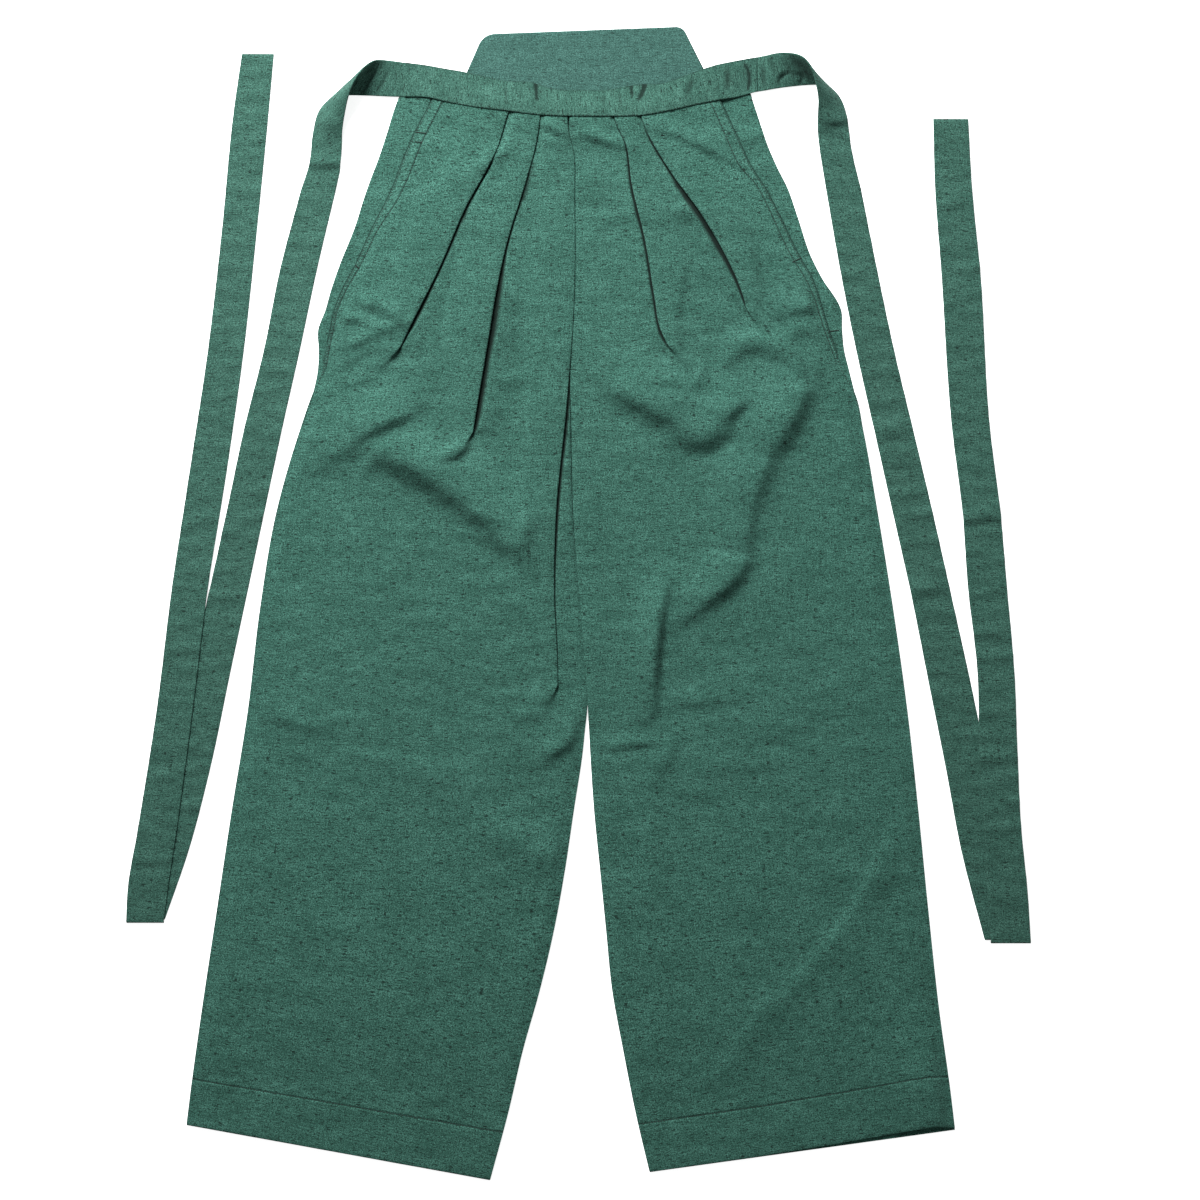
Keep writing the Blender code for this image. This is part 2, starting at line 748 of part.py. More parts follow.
def board_outline():
    """The waist board's outline with its upper corners rounded."""
    corners = np.stack([BOARD_CORNERS["across"], BOARD_CORNERS["down"]], axis=-1)
    outline = []
    for i, radius in enumerate(BOARD_CORNERS["radius"]):
        here, before, after = corners[i], corners[i - 1], corners[(i + 1) % len(corners)]
        if radius == 0:
            outline.append(here)
            continue
        to_before = (before - here) / np.linalg.norm(before - here)
        to_after = (after - here) / np.linalg.norm(after - here)
        half = math.acos(np.clip(to_before @ to_after, -1, 1)) / 2
        reach = radius / math.tan(half)
        start, end = here + to_before * reach, here + to_after * reach
        for t in np.linspace(0, 1, BOARD_ROUND_STEPS):
            outline.append((1 - t) ** 2 * start + 2 * t * (1 - t) * here + t * t * end)
    return np.array(outline)


def build_waist_board(garment):
    """The stiff board at the top of the back, a flat plate with softened rims."""
    outline = board_outline()
    flat = bpy.data.curves.new("waist_board", "CURVE")
    flat.dimensions = "2D"
    flat.fill_mode = "BOTH"
    flat.extrude = BOARD_THICKNESS / 2 * MM
    line = flat.splines.new("POLY")
    line.points.add(len(outline) - 1)
    line.use_cyclic_u = True
    for point, (across, down) in zip(line.points, outline):
        point.co = (*place(across, down, 0.0)[:2], 0.0, 1.0)
    board = garment.add("waist_board", flat, BOARD_GREEN)
    board.location.z = BOARD_THICKNESS / 2 * MM
    weld = board.modifiers.new("weld", "WELD")
    weld.merge_threshold = 0.0001
    rim = board.modifiers.new("rim", "BEVEL")
    rim.width = 0.9 * MM
    rim.segments = 2
    rim.limit_method = "ANGLE"


def build():
    """Builds every piece of the hakama."""
    garment = Garment(GARMENT)
    for side in ("left", "right"):
        build_back(garment, side)
        build_back_tie(garment, side)
        build_front(garment, side)
        build_tie_down(garment, side)
        build_tie_up(garment, side)
    build_waist_board(garment)
    build_waistband(garment)


build()
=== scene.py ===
"""Looks of the hakama trousers, laid flat on their back on a pale surface.

Every piece of cloth is a thin shell on the form of its CAD solid. Tables are in millimetres:
"across" runs to +X from the middle, "down" runs to -Y from the top of the waist board, and
heights run to +Z from the surface.
"""

import logging
import math
from dataclasses import dataclass
from enum import Enum
from typing import Callable

import bmesh
import bpy
import numpy as np
from mathutils import Matrix, Vector
from mathutils.bvhtree import BVHTree


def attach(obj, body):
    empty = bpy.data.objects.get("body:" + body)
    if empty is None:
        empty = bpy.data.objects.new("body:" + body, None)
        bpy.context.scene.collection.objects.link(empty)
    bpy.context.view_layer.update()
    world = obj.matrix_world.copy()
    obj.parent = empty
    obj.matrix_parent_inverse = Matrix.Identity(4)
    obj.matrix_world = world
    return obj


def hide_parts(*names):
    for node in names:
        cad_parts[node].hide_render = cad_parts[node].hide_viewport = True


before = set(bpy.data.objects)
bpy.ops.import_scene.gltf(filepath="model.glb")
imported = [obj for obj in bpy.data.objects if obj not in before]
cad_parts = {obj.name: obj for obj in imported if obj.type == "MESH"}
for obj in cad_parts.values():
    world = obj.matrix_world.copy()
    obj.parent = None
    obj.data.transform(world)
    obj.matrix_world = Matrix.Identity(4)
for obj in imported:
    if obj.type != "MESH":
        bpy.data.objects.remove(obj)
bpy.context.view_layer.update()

LOG = logging.getLogger("hakama")
UV_NAME = "cloth"
# Name of each point's share of painted shade: dark colour painted where shade falls in gapes, creases,
# grooves and along rims.
PAINTED_SHADE_NAME = "painted_shade"

MM = 0.001
# In millimetres. A row is a weft thread's place down the leg, before it follows the waist or the hem.
GARMENT_LENGTH = 1014.6
SEAM_GAP = 0.3
FRONT_SEAM_GAP = 0.04
BOARD_ROW = 54.0
WAIST_ROW = 72.0
BAND_ROW = 80.0
HEM_START = 640.0
HEM_ROW = 930.0
CROTCH_DOWN = 602.8

Sizes = dict[str, np.ndarray]


def table(columns: str, rows: list[tuple[float, ...]]) -> Sizes:
    """Makes a short table of sizes.

    Args:
        columns: The columns' names, parted by spaces.
        rows: One tuple of sizes for each row.

    Returns:
        One array for each named column.
    """
    return dict(zip(columns.split(), np.array(rows, float).T))


def read(sizes: Sizes, column: str, at: np.ndarray | float) -> np.ndarray:
    """Reads a column on a smooth curve through the table's rows.

    Args:
        sizes: The table; its first column is the place along it.
        column: The column to read.
        at: Places along the table.

    Returns:
        The column's size at each place.
    """
    keys = next(iter(sizes.values()))
    values = sizes[column]
    slopes = np.gradient(values, keys)
    row = np.clip(np.searchsorted(keys, at) - 1, 0, len(keys) - 2)
    span = keys[row + 1] - keys[row]
    t = np.clip((at - keys[row]) / span, 0, 1)
    start = (1 + 2 * t) * (1 - t) ** 2 * values[row] + t * (1 - t) ** 2 * span * slopes[row]
    end = t * t * (3 - 2 * t) * values[row + 1] - t * t * (1 - t) * span * slopes[row + 1]
    return start + end


def read_straight(sizes: Sizes, column: str, at: np.ndarray | float) -> np.ndarray:
    """Reads a column on straight lines between the table's rows."""
    return np.interp(at, next(iter(sizes.values())), sizes[column])


def smooth(t: np.ndarray | float) -> np.ndarray:
    """Gives 0 below 0, 1 above 1, and a soft step between."""
    t = np.clip(t, 0, 1)
    return t * t * (3 - 2 * t)


def ease(at: np.ndarray | float, start: float, length: float) -> np.ndarray:
    """Gives a soft step up from 0 to 1 that begins at a start and takes a length."""
    return smooth((at - start) / length)


def fade(at: np.ndarray | float, start: float, length: float) -> np.ndarray:
    """Gives a soft step down from 1 to 0 that begins at a start and takes a length."""
    return 1 - ease(at, start, length)


def place(across: np.ndarray, down: np.ndarray, height: np.ndarray) -> np.ndarray:
    """Turns table sizes into points in metres in the part's frame."""
    return np.stack([across, GARMENT_LENGTH / 2 - down, height], axis=-1) * MM


class Side(Enum):
    """The garment's two halves as it lies, seen from above with the waist at the top."""

    LEFT = "left"
    RIGHT = "right"

    @property
    def flip(self) -> int:
        """Turns this half's places across into places that grow towards the centre."""
        return 1 if self is Side.LEFT else -1


class Slot(Enum):
    """The record's material slots."""

    LEG = "leg_cloth"
    TIE = "tie_cloth"
    BOARD = "board_cloth"


Edge = Callable[[float], float]
RowDown = Callable[[float, Side, np.ndarray], np.ndarray]


# Sizes shared with the part's source
SIDES: dict[Side, Sizes] = {
    Side.LEFT: table("down back front", [
        (54, -154.5, -124), (66, -159.7, -129.5), (95, -169, -144.5), (116, -176, -153.5),
        (137, -184, -161.5), (153, -189.5, -168.5), (174, -196, -179.5), (210, -210.3, -196),
        (233, -218.2, -208), (250, -223, -214.5), (267, -229.2, -218), (284, -228.6, -221.5),
        (302, -229.4, -225), (322, -233.6, -233.6), (355, -245.1, -245.1), (425, -265.3, -265.3),
        (513, -280.3, -280.3), (601, -290.8, -290.8), (689, -304.9, -304.9), (777, -318.1, -318.1),
        (865, -331.3, -331.3), (935, -341.0, -341.0), (968, -345.0, -345.0),
    ]),
    Side.RIGHT: table("down back front", [
        (54, 150, 119.5), (66, 153.6, 125), (78, 157.6, 130.6), (104, 166.3, 142.6), (123, 174.5, 151.5),
        (141, 183.6, 163.3), (166, 192.4, 176.4), (203, 205, 194.5), (221, 214.2, 205), (249, 231, 214.5),
        (267, 231.9, 220), (284, 233.6, 226), (302, 238, 232.5), (322, 243, 243), (355, 250.4, 250.4),
        (425, 262.7, 262.7), (513, 276.8, 276.8), (601, 289.1, 289.1), (689, 298.8, 298.8),
        (777, 307.6, 307.6), (865, 317.2, 317.2), (935, 326.9, 326.9), (972, 331.3, 331.3),
    ]),
}
HEM_OPEN: dict[Side, Sizes] = {
    Side.LEFT: table("across back", [(-350, 1.0), (-70, 1.0)]),
    Side.RIGHT: table(
        "across back",
        [(60, 1.0), (150, 1.0), (213, 2.2), (284, 4.7), (312, 6.2), (322, 4.2), (332, 1.6)],
    ),
}
SEAMS: Sizes = table("down left right", [
    (54, -8, -8), (240, -8, -8), (330, -7.4, -7.4), (386, -6.6, -6.6), (425, -5.4, -5.4),
    (476, -1.7, -1.7), (550, 4.6, 4.6), (598, 7.8, 8.1), (619, 5.7, 9.2), (636, 4, 10.1), (689, -4, 13.6),
    (742, -11.9, 18.9), (795, -21.6, 24.2), (847, -33.9, 29.5), (900, -48.8, 39.2), (953, -61.2, 49.7),
    (1015, -77.9, 64.3),
])
OPENING: Sizes = table("past_end turn step run", [
    (0, 1.0, 0.5, 2.0), (5, 0.5, 0.45, 0.8), (11, 0.2, 0.8, 1.0), (20, 0.06, 2.0, 2.0),
    (38, 0.0, 4.0, 4.0),
])
BAND: Sizes = table("across top bottom low_height up_height", [
    (-153.6, 31.3, 61.6, 2.3, 2.3), (-132.4, 34.3, 62.5, 3.3, 2.6), (-118, 37, 66, 4.7, 3.6),
    (-104.3, 39.6, 69, 5.7, 4.9), (-82, 44.4, 72.8, 8.4, 4.9), (-65, 48.0, 74.8, 8.4, 4.9),
    (-40, 49.8, 78.0, 8.4, 4.9), (-24, 54.9, 79.2, 8.4, 4.9), (1.3, 56.3, 79.7, 8.4, 4.9),
    (26, 56.0, 79.9, 8.4, 4.9), (45, 52.4, 79.6, 8.4, 4.9), (58, 51.2, 78.8, 8.4, 4.9),
    (75, 50.2, 75.8, 8.4, 4.9), (90, 45.0, 72.4, 7.0, 4.9), (106.9, 38.7, 68.4, 5.6, 4.9),
    (122, 33.8, 65.2, 4.7, 4.4), (137.7, 30.4, 62.5, 3.3, 2.8), (157.1, 26.8, 57.2, 2.3, 2.3),
])
SLIT_STITCHES: dict[Side, Sizes] = {
    Side.LEFT: table("down inset", [
        (50, 9), (66, 9.1), (90, 10), (125, 10.4), (150, 9.4), (168, 7.2), (180, 5.2), (205, 4.4),
        (233, 3.2), (250, 2.4), (310, 2.4),
    ]),
    Side.RIGHT: table("down inset", [
        (50, 8.6), (66, 9), (88, 9.1), (109, 10), (124, 9.6), (136, 6.2), (158, 6), (181, 7), (205, 6.8),
        (222, 6), (240, 4.2), (261, 3.8), (284, 3.3),
    ]),
}
SLIT_TOP = 66.0
SLIT_END: dict[Side, float] = {Side.LEFT: 300.0, Side.RIGHT: 290.0}
SLIT_FOOT = 352.0
HEM_STITCHES: dict[Side, Sizes] = {
    Side.LEFT: table("across row", [(-345, 890.4), (-60, 890.2)]),
    Side.RIGHT: table("across row", [
        (50, 890.5), (164, 889), (210, 887.5), (253, 886), (292, 883.3), (309, 882.7), (330, 886.5),
    ]),
}
BAR_TACKS: dict[Side, list[tuple[tuple[float, float], tuple[float, float]]]] = {
    Side.LEFT: [
        ((-143.2, 92.8), (-134.5, 94.2)),
        ((-144, 101.6), (-137.1, 102.1)),
        ((-195.9, 210), (-192.8, 213)),
    ],
    Side.RIGHT: [((188, 207.2), (196.2, 203.3)), ((219.8, 268.2), (229, 266.9))],
}
BACK_TOP: Sizes = table(
    "across down", [(-160, 54), (-104.3, 54), (-8, 61.3), (118.4, 54), (160, 54)]
)


# Relief: folds, creases and soft waves in the cloth
@dataclass(frozen=True)
class Fold:
    """A soft fold or crease along a curved crest. A negative height makes it a trough.

    The cloth falls away within ``fall`` on one side of the crest and within ``rise`` on the
    other. ``side`` is +1 where the fall is below a crest that runs to the right.
    """

    start: tuple[float, float]
    mid: tuple[float, float]
    end: tuple[float, float]
    side: int
    rise: float
    fall: float
    height: float
    taper: float = 0.7
    blunt: float = 0.07
    reach: float = 3.2
    steps: int = 16

    def crest(self) -> np.ndarray:
        """Draws the crest on the curve through its start, middle and end.

        Returns:
            Points across and down, one more than its steps.
        """
        start, mid, end = (np.array(p, float) for p in (self.start, self.mid, self.end))
        bend = 2 * mid - (start + end) / 2
        t = np.linspace(0, 1, self.steps + 1)[:, None]
        return (1 - t) ** 2 * start + 2 * t * (1 - t) * bend + t * t * end

    def lift(self, across: np.ndarray, down: np.ndarray) -> np.ndarray:
        """Height of the fold at each place.

        Args:
            across: Places across, in millimetres.
            down: Places down, in millimetres.

        Returns:
            The fold's height there, always 0 or more; the caller gives it its sign.
        """
        line = self.crest()
        reach = self.reach * max(self.rise, self.fall)
        lift = np.zeros(across.shape)
        low, high = line.min(0) - reach, line.max(0) + reach
        near = (across > low[0]) & (across < high[0]) & (down > low[1]) & (down < high[1])
        if not near.any():
            return lift
        spots = np.stack([across[near], down[near]], axis=-1)
        steps = np.diff(line, axis=0)
        away = spots[:, None, :] - line[:-1]
        t = np.clip((away * steps).sum(-1) / (steps**2).sum(-1), 0, 1)
        miss = away - t[..., None] * steps
        distance = np.hypot(miss[..., 0], miss[..., 1])
        nearest = distance.argmin(-1)
        pick = np.arange(len(spots))
        distance = distance[pick, nearest]
        along = (nearest + t[pick, nearest]) / self.steps
        miss = miss[pick, nearest]
        step = steps[nearest] / np.hypot(steps[:, 0], steps[:, 1])[nearest][:, None]
        turned = (step[:, 0] * miss[:, 1] - step[:, 1] * miss[:, 0]) / (distance + 1)
        width = self.rise + (self.fall - self.rise) * smooth((1 + turned * self.side) / 2)
        shape = np.sin(np.pi * (self.blunt + (1 - 2 * self.blunt) * along)) ** self.taper
        lift[near] = abs(self.height) * shape * np.exp(-((distance / width) ** 2))
        return lift


@dataclass(frozen=True)
class Waves:
    """Uneven soft waves that loosely laid cloth has all over.

    ``slant`` squeezes the waves' direction: 0 lets them run every way, and 1 keeps their
    crests running across.
    """

    height: float
    shortest: float
    longest: float
    seed: int
    slant: float = 0.0
    count: int = 28

    def lift(self, across: np.ndarray, down: np.ndarray) -> np.ndarray:
        """Height of the waves at each place.

        Args:
            across: Places across, in millimetres.
            down: Places down, in millimetres.

        Returns:
            The height there, above and below 0.
        """
        chance = np.random.default_rng(self.seed)
        total = np.zeros(np.shape(across))
        for _ in range(self.count):
            length = math.exp(chance.uniform(math.log(self.shortest), math.log(self.longest)))
            turn = chance.uniform(0, math.pi)
            turn += (math.pi / 2 - turn) * self.slant
            phase = chance.uniform(0, 2 * math.pi)
            wave = across * math.cos(turn) + down * math.sin(turn)
            total += np.sin(wave * (2 * math.pi / length) + phase)
        return total * self.height / math.sqrt(self.count / 2)


@dataclass(frozen=True)
class Relief:
    """All the folds, creases and waves of one surface."""

    folds: tuple[Fold, ...] = ()
    creases: tuple[Fold, ...] = ()
    waves: tuple[Waves, ...] = ()

    def drape(self, across: np.ndarray, down: np.ndarray) -> np.ndarray:
        """Height of the main folds, blended where they meet."""
        total = sum((fold.lift(across, down) ** 3 for fold in self.folds), np.zeros(across.shape))
        return np.cbrt(total)

    def fine(self, across: np.ndarray, down: np.ndarray) -> np.ndarray:
        """Height of the small creases and the soft waves.

        Args:
            across: Places across, in millimetres.
            down: Places down, in millimetres.

        Returns:
            The height at each place.
        """
        total = np.zeros(across.shape)
        for crease in self.creases:
            total += math.copysign(1, crease.height) * crease.lift(across, down)
        for waves in self.waves:
            total += waves.lift(across, down)
        return total


def folds(rows: list[tuple[float, ...]]) -> tuple[Fold, ...]:
    """Makes folds from a table.

    Args:
        rows: Start, middle and end of each crest, its side, rise, fall and height.

    Returns:
        One fold for each row.
    """
    return tuple(
        Fold((a, b), (c, d), (e, f), int(side), rise, fall, height)
        for a, b, c, d, e, f, side, rise, fall, height in rows
    )


FRONT_RELIEF = Relief(
    folds=folds([
        (-231, 384, -205, 368, -182, 356, 1, 30, 13, 4.6),
        (-201, 363, -173, 350, -147, 336, 1, 24, 9, 10.5),
        (-189, 366, -143, 386, -92, 418, 1, 26, 14, 11.5), (-132, 392, -88, 425, -51, 462, 1, 30, 12, 9),
        (28, 313, 67, 335, 109, 356, 1, 34, 11, 10), (79, 346, 110, 360, 133, 344, 1, 34, 12, 8.5),
        (110, 358, 130, 341, 151, 321, 1, 24, 9, 8), (131, 290, 157, 278, 183, 295, 1, 10, 9, 5),
        (202, 312, 183, 346, 163, 381, -1, 34, 12, 9.5), (170, 369, 156, 400, 146, 432, -1, 32, 11, 7.5),
        (151, 414, 147, 443, 144, 471, -1, 26, 8, 5.5), (146, 463, 132, 487, 89, 519, -1, 26, 8, 7),
        (79, 487, 68, 539, 65, 598, -1, 15, 4.5, 8.5), (5, 596, -4, 617, -27, 642, -1, 18, 7, 2.4),
        (280, 703, 228, 796, 163, 862, -1, 4.5, 16, 2.6), (170, 856, 146, 886, 121, 925, -1, 4, 14, 1.5),
        (296, 900, 308, 940, 315, 980, -1, 24, 20, 5), (-95, 693, -51, 721, -12, 730, 1, 20, 14, 3.4),
    ]),
    creases=folds([
        (-34, 84, -22, 90, -7, 98, 1, 7, 3.2, 4.4), (-2, 94, 17, 99, 44, 107, 1, 8, 3.2, 4.2),
        (5, 96, 14, 94, 24, 92, 1, 6, 3, 1.2), (54, 85, 93, 98, 121, 112, 1, 16, 3, 3),
        (110, 106, 139, 120, 163, 138, 1, 12, 3, 2.2), (-87, 126, -73, 115, -56, 102, 1, 8, 5, 3.2),
        (-194, 244, -176, 247, -154, 262, 1, 9, 3.4, 4.2), (-215, 256, -194, 258, -164, 268, 1, 6, 4, 3),
        (-206, 282, -189, 275, -168, 265, 1, 8, 4, 3), (-205, 295, -183, 284, -164, 280, 1, 9, 5, 1.8),
        (-222, 286, -212, 274, -205, 260, -1, 5, 4, 1.2), (-190, 395, -183, 383, -169, 371, 1, 3, 8, 1.6),
        (-47, 423, -50, 444, -66, 487, -1, 3.5, 10, 2.2), (-73, 455, -62, 457, -51, 456, 1, 8, 5, 2),
        (-67, 310, -56, 311, -43, 305, 1, 8, 5, 1.4), (-80, 336, -69, 338, -59, 337, 1, 6, 4, 0.94),
        (-60, 363, -51, 368, -41, 374, 1, 3, 3, 0.81), (67, 312, 79, 312, 89, 310, 1, 6, 3, 0.94),
        (107, 297, 104, 309, 93, 318, -1, 3, 6, 1.6), (142, 283, 132, 293, 121, 305, -1, 3, 6, 1.2),
        (167, 275, 188, 290, 198, 323, 1, 5, 7, 2.7), (167, 255, 190, 248, 216, 245, 1, 22, 6, 3.6),
        (183, 270, 198, 266, 213, 268, 1, 12, 7, 2.6), (191, 248, 202, 247, 213, 245, 1, 8, 6, 1.9),
        (186, 260, 188, 271, 190, 282, -1, 8, 8, 1.6), (-279, 604, -245, 612, -205, 620, 1, 14, 6, 1.7),
        (-128, 378, -108, 376, -95, 363, 1, 10, 3.4, 3.2),
        (-205, 638, -148, 647, -94, 658, 1, 4, 14, 1.6), (-90, 638, -85, 638, -78, 639, 1, 4, 3, 0.68),
        (75, 596, 107, 593, 147, 588, 1, 12, 4, 1.8), (26, 635, 49, 631, 72, 629, 1, 8, 2.4, 2.4),
        (84, 626, 76, 642, 68, 659, -1, 12, 7, 3), (65, 671, 65, 724, 68, 768, -1, 14, 9, 1.4),
        (107, 655, 147, 652, 188, 646, 1, 12, 4, 1.2), (147, 619, 169, 620, 195, 619, 1, 14, 7, 1.1),
        (-31, 647, -16, 633, 1, 628, 1, 10, 5, 2.4), (107, 925, 116, 925, 126, 921, 1, 10, 6, 1.1),
        (102, 136, 107, 146, 112, 165, 1, 2.5, 2.5, -1.4), (82, 163, 100, 166, 121, 175, 1, 14, 7, 1.6),
        (29, 170, 15, 180, 3, 194, -1, 6, 3, 0.81), (-3, 140, 10, 142, 28, 147, 1, 14, 8, 1.4),
    ]),
    waves=(
        Waves(height=0.22, shortest=45, longest=130, seed=4, slant=0.35),
        Waves(height=0.12, shortest=10, longest=24, seed=9, slant=0.7),
    ),
)
BACK_RELIEF: dict[Side, Relief] = {
    Side.LEFT: Relief(
        creases=folds([
            (-232, 246, -226, 256, -217, 262, 1, 6, 3, 1.6),
            (-208, 196, -213, 214, -217, 232, -1, 6, 5, 0.8),
            (-230, 420, -190, 432, -150, 440, 1, 20, 8, 1.6),
            (-250, 610, -190, 622, -110, 632, 1, 14, 6, 1.6),
            (-60, 300, -110, 340, -150, 350, 1, 24, 10, 1.8),
        ]),
        waves=(Waves(height=0.16, shortest=45, longest=120, seed=12, slant=0.3),),
    ),
    Side.RIGHT: Relief(
        creases=folds([
            (137, 80, 146, 78, 156, 72, 1, 7, 4, 1.2), (140, 106, 151, 99, 166, 94, 1, 9, 3.5, 1.9),
            (148, 128, 158, 124, 172, 122, 1, 9, 5, 1.0), (216, 226, 222, 241, 227, 256, -1, 7, 5, 1.8),
            (219, 262, 226, 270, 234, 272, 1, 6, 4, 1.0), (60, 330, 120, 350, 190, 338, 1, 24, 10, 1.8),
            (90, 600, 150, 596, 230, 610, 1, 14, 6, 1.5),
        ]),
        waves=(Waves(height=0.16, shortest=45, longest=120, seed=13, slant=0.3),),
    ),
}
BAND_RELIEF = Relief(
    creases=folds([
        (-37.8, 47, -37.4, 55, -36.8, 65, 1, 1.6, 1.6, -2),
        (-41, 47, -40.6, 54, -39.6, 64, 1, 2.4, 1.6, 0.8),
        (46.0, 50, 46.6, 56, 48, 63, 1, 1.4, 1.4, -1.6), (58.5, 49, 57, 56, 52.5, 65, 1, 1.7, 1.7, -2.4),
        (52.2, 50, 51.8, 56, 51, 64, 1, 2.6, 2.6, 0.9), (36, 60, 36.5, 66, 37, 74, 1, 1.6, 1.6, -0.5),
        (22, 60, 22.4, 66, 23, 72, 1, 1.6, 1.6, -0.4), (-64, 52, -63.6, 60, -63, 70, 1, 1.6, 1.6, -0.5),
        (100, 44, 98, 53, 94, 62, 1, 3, 3, -0.5), (130, 36, 131, 46, 130, 56, 1, 3, 3, -0.6),
        (146, 33, 150, 43, 149, 55, 1, 1.6, 1.6, -1.5),
    ]),
    waves=(
        Waves(height=0.14, shortest=6, longest=22, seed=21, slant=-0.6),
        Waves(height=0.2, shortest=24, longest=60, seed=5, slant=-0.5),
    ),
)
TIE_CREASES: dict[str, tuple[Fold, ...]] = {
    "left_down": folds([
        (-190, 58, -183, 48, -176, 37, 1, 1.8, 1.8, -1.5),
        (-178, 61, -172, 50, -166, 38, 1, 1.6, 1.6, -1.1), (-199, 58, -194, 50, -188, 42, 1, 3, 3, 1.6),
        (-234, 80, -222, 84, -208, 92, 1, 8, 6, 1.6), (-240, 117, -224, 119, -208, 121, 1, 8, 4, 1.2),
        (-333, 452, -316, 446, -300, 447, 1, 8, 4, 1.4),
    ]),
    "right_down": folds([
        (161.5, 34, 162.5, 43, 164, 53, 1, 2, 2, -2.2), (176.4, 52, 178, 45, 184, 42, 1, 1.8, 1.8, -2.4),
        (194, 51, 196, 45, 191, 42, 1, 1.8, 1.8, -2), (184, 28, 196, 38, 206, 48, 1, 4, 4, -1.8),
        (166, 27, 171, 36, 174, 44, 1, 2, 2, -1.2), (180, 33, 186, 40, 190, 47, 1, 2.4, 2.4, -1.2),
        (204, 62, 213, 70, 222, 84, -1, 5, 3, 1.5), (211, 80, 222, 84, 238, 80, 1, 8, 3, 2.2),
        (214, 118, 228, 122, 243, 118, 1, 9, 5, 1.3), (258, 361, 274, 358, 290, 352, 1, 9, 4, 1.6),
        (266, 385, 280, 381, 297, 377, 1, 9, 5, 1.3), (286, 497, 302, 494, 320, 491, 1, 9, 5, 1.6),
    ]),
    "left_up": folds([
        (-352, 410, -338, 408, -318, 411, 1, 9, 4, 1.2), (-346, 438, -334, 434, -318, 433, 1, 9, 4, 1.1),
    ]),
    "right_up": folds([
        (318, 160, 334, 156, 352, 158, 1, 9, 3, 1.2), (336, 435, 356, 431, 376, 431, 1, 9, 4, 3.2),
        (342, 528, 362, 532, 382, 530, 1, 9, 4, 1.2), (352, 640, 366, 644, 380, 648, 1, 9, 4, 1.4),
        (352, 764, 370, 768, 388, 764, 1, 9, 4, 1.2),
    ]),
}


# Finishes
Colour = tuple[float, float, float]
Fed = bpy.types.NodeSocket | float | tuple


def new_group(
    name: str, inputs: list[tuple[str, str, float | tuple]], outputs: list[tuple[str, str]]
) -> tuple[bpy.types.NodeTree, bpy.types.Node, bpy.types.Node]:
    """Starts a shader node group with named inputs and outputs.

    Args:
        name: The group's name.
        inputs: Name, socket type and default value of each input.
        outputs: Name and socket type of each output.

    Returns:
        The node tree, its group input node and its group output node.
    """
    tree = bpy.data.node_groups.new(name, "ShaderNodeTree")
    for label, kind, value in inputs:
        socket = tree.interface.new_socket(name=label, in_out="INPUT", socket_type=kind)
        if kind != "NodeSocketVector":
            socket.default_value = value
    for label, kind in outputs:
        tree.interface.new_socket(name=label, in_out="OUTPUT", socket_type=kind)
    return tree, tree.nodes.new("NodeGroupInput"), tree.nodes.new("NodeGroupOutput")


@dataclass
class Wiring:
    """Short calls that add and join shader nodes in one tree."""

    tree: bpy.types.NodeTree

    def feed(self, node: bpy.types.Node, sockets: dict[int | str, Fed]) -> bpy.types.Node:
        """Joins or sets a node's inputs.

        Args:
            node: The node.
            sockets: For each input, the output that feeds it or its own value.

        Returns:
            The same node.
        """
        for socket, value in sockets.items():
            if isinstance(value, bpy.types.NodeSocket):
                self.tree.links.new(value, node.inputs[socket])
            else:
                node.inputs[socket].default_value = value
        return node

    def add(self, kind: str, settings: dict[str, object], sockets: dict[int | str, Fed]) -> bpy.types.Node:
        """Adds a node.

        Args:
            kind: The node's type.
            settings: The node's own settings.
            sockets: For each input, the output that feeds it or its own value.

        Returns:
            The new node.
        """
        node = self.tree.nodes.new("ShaderNode" + kind)
        for name, setting in settings.items():
            setattr(node, name, setting)
        return self.feed(node, sockets)

    def noise(self, vector: Fed, stretch: tuple[float, float], detail: float) -> bpy.types.NodeSocket:
        """Adds noise on the cloth's own coordinates.

        Args:
            vector: The cloth's coordinates, in metres.
            stretch: Features per metre along the weft and along the warp.
            detail: Octaves of finer noise.

        Returns:
            The noise value.
        """
        scaled = self.add("VectorMath", {"operation": "MULTIPLY"}, {0: vector, 1: (*stretch, 1.0)})
        sockets = {"Scale": 1.0, "Detail": detail, "Vector": scaled.outputs[0]}
        return self.add("TexNoise", {"noise_dimensions": "2D"}, sockets).outputs["Fac"]

    def span(self, value: Fed, low: float, high: float, to_low: float = 0.0,
             to_high: float = 1.0) -> bpy.types.NodeSocket:
        """Maps a value's range softly on to another, held at both ends."""
        ends = {"From Min": low, "From Max": high, "To Min": to_low, "To Max": to_high, "Value": value}
        return self.add("MapRange", {"interpolation_type": "SMOOTHSTEP"}, ends).outputs["Result"]

    def maths(self, operation: str, first: Fed, second: Fed) -> bpy.types.NodeSocket:
        """Adds a Math node and returns its value."""
        return self.add("Math", {"operation": operation}, {0: first, 1: second}).outputs[0]

    def mix(self, share: Fed, first: Fed, second: Fed) -> bpy.types.NodeSocket:
        """Mixes two colours by a share."""
        return self.add("Mix", {"data_type": "RGBA"}, {0: share, 6: first, 7: second}).outputs[2]


def new_material(name: str) -> tuple[bpy.types.Material, Wiring, bpy.types.Node]:
    """Starts a material.

    Args:
        name: The material's name.

    Returns:
        The material, its wiring and its Principled shader.
    """
    material = bpy.data.materials.new(name)
    material.use_nodes = True
    return material, Wiring(material.node_tree), material.node_tree.nodes["Principled BSDF"]


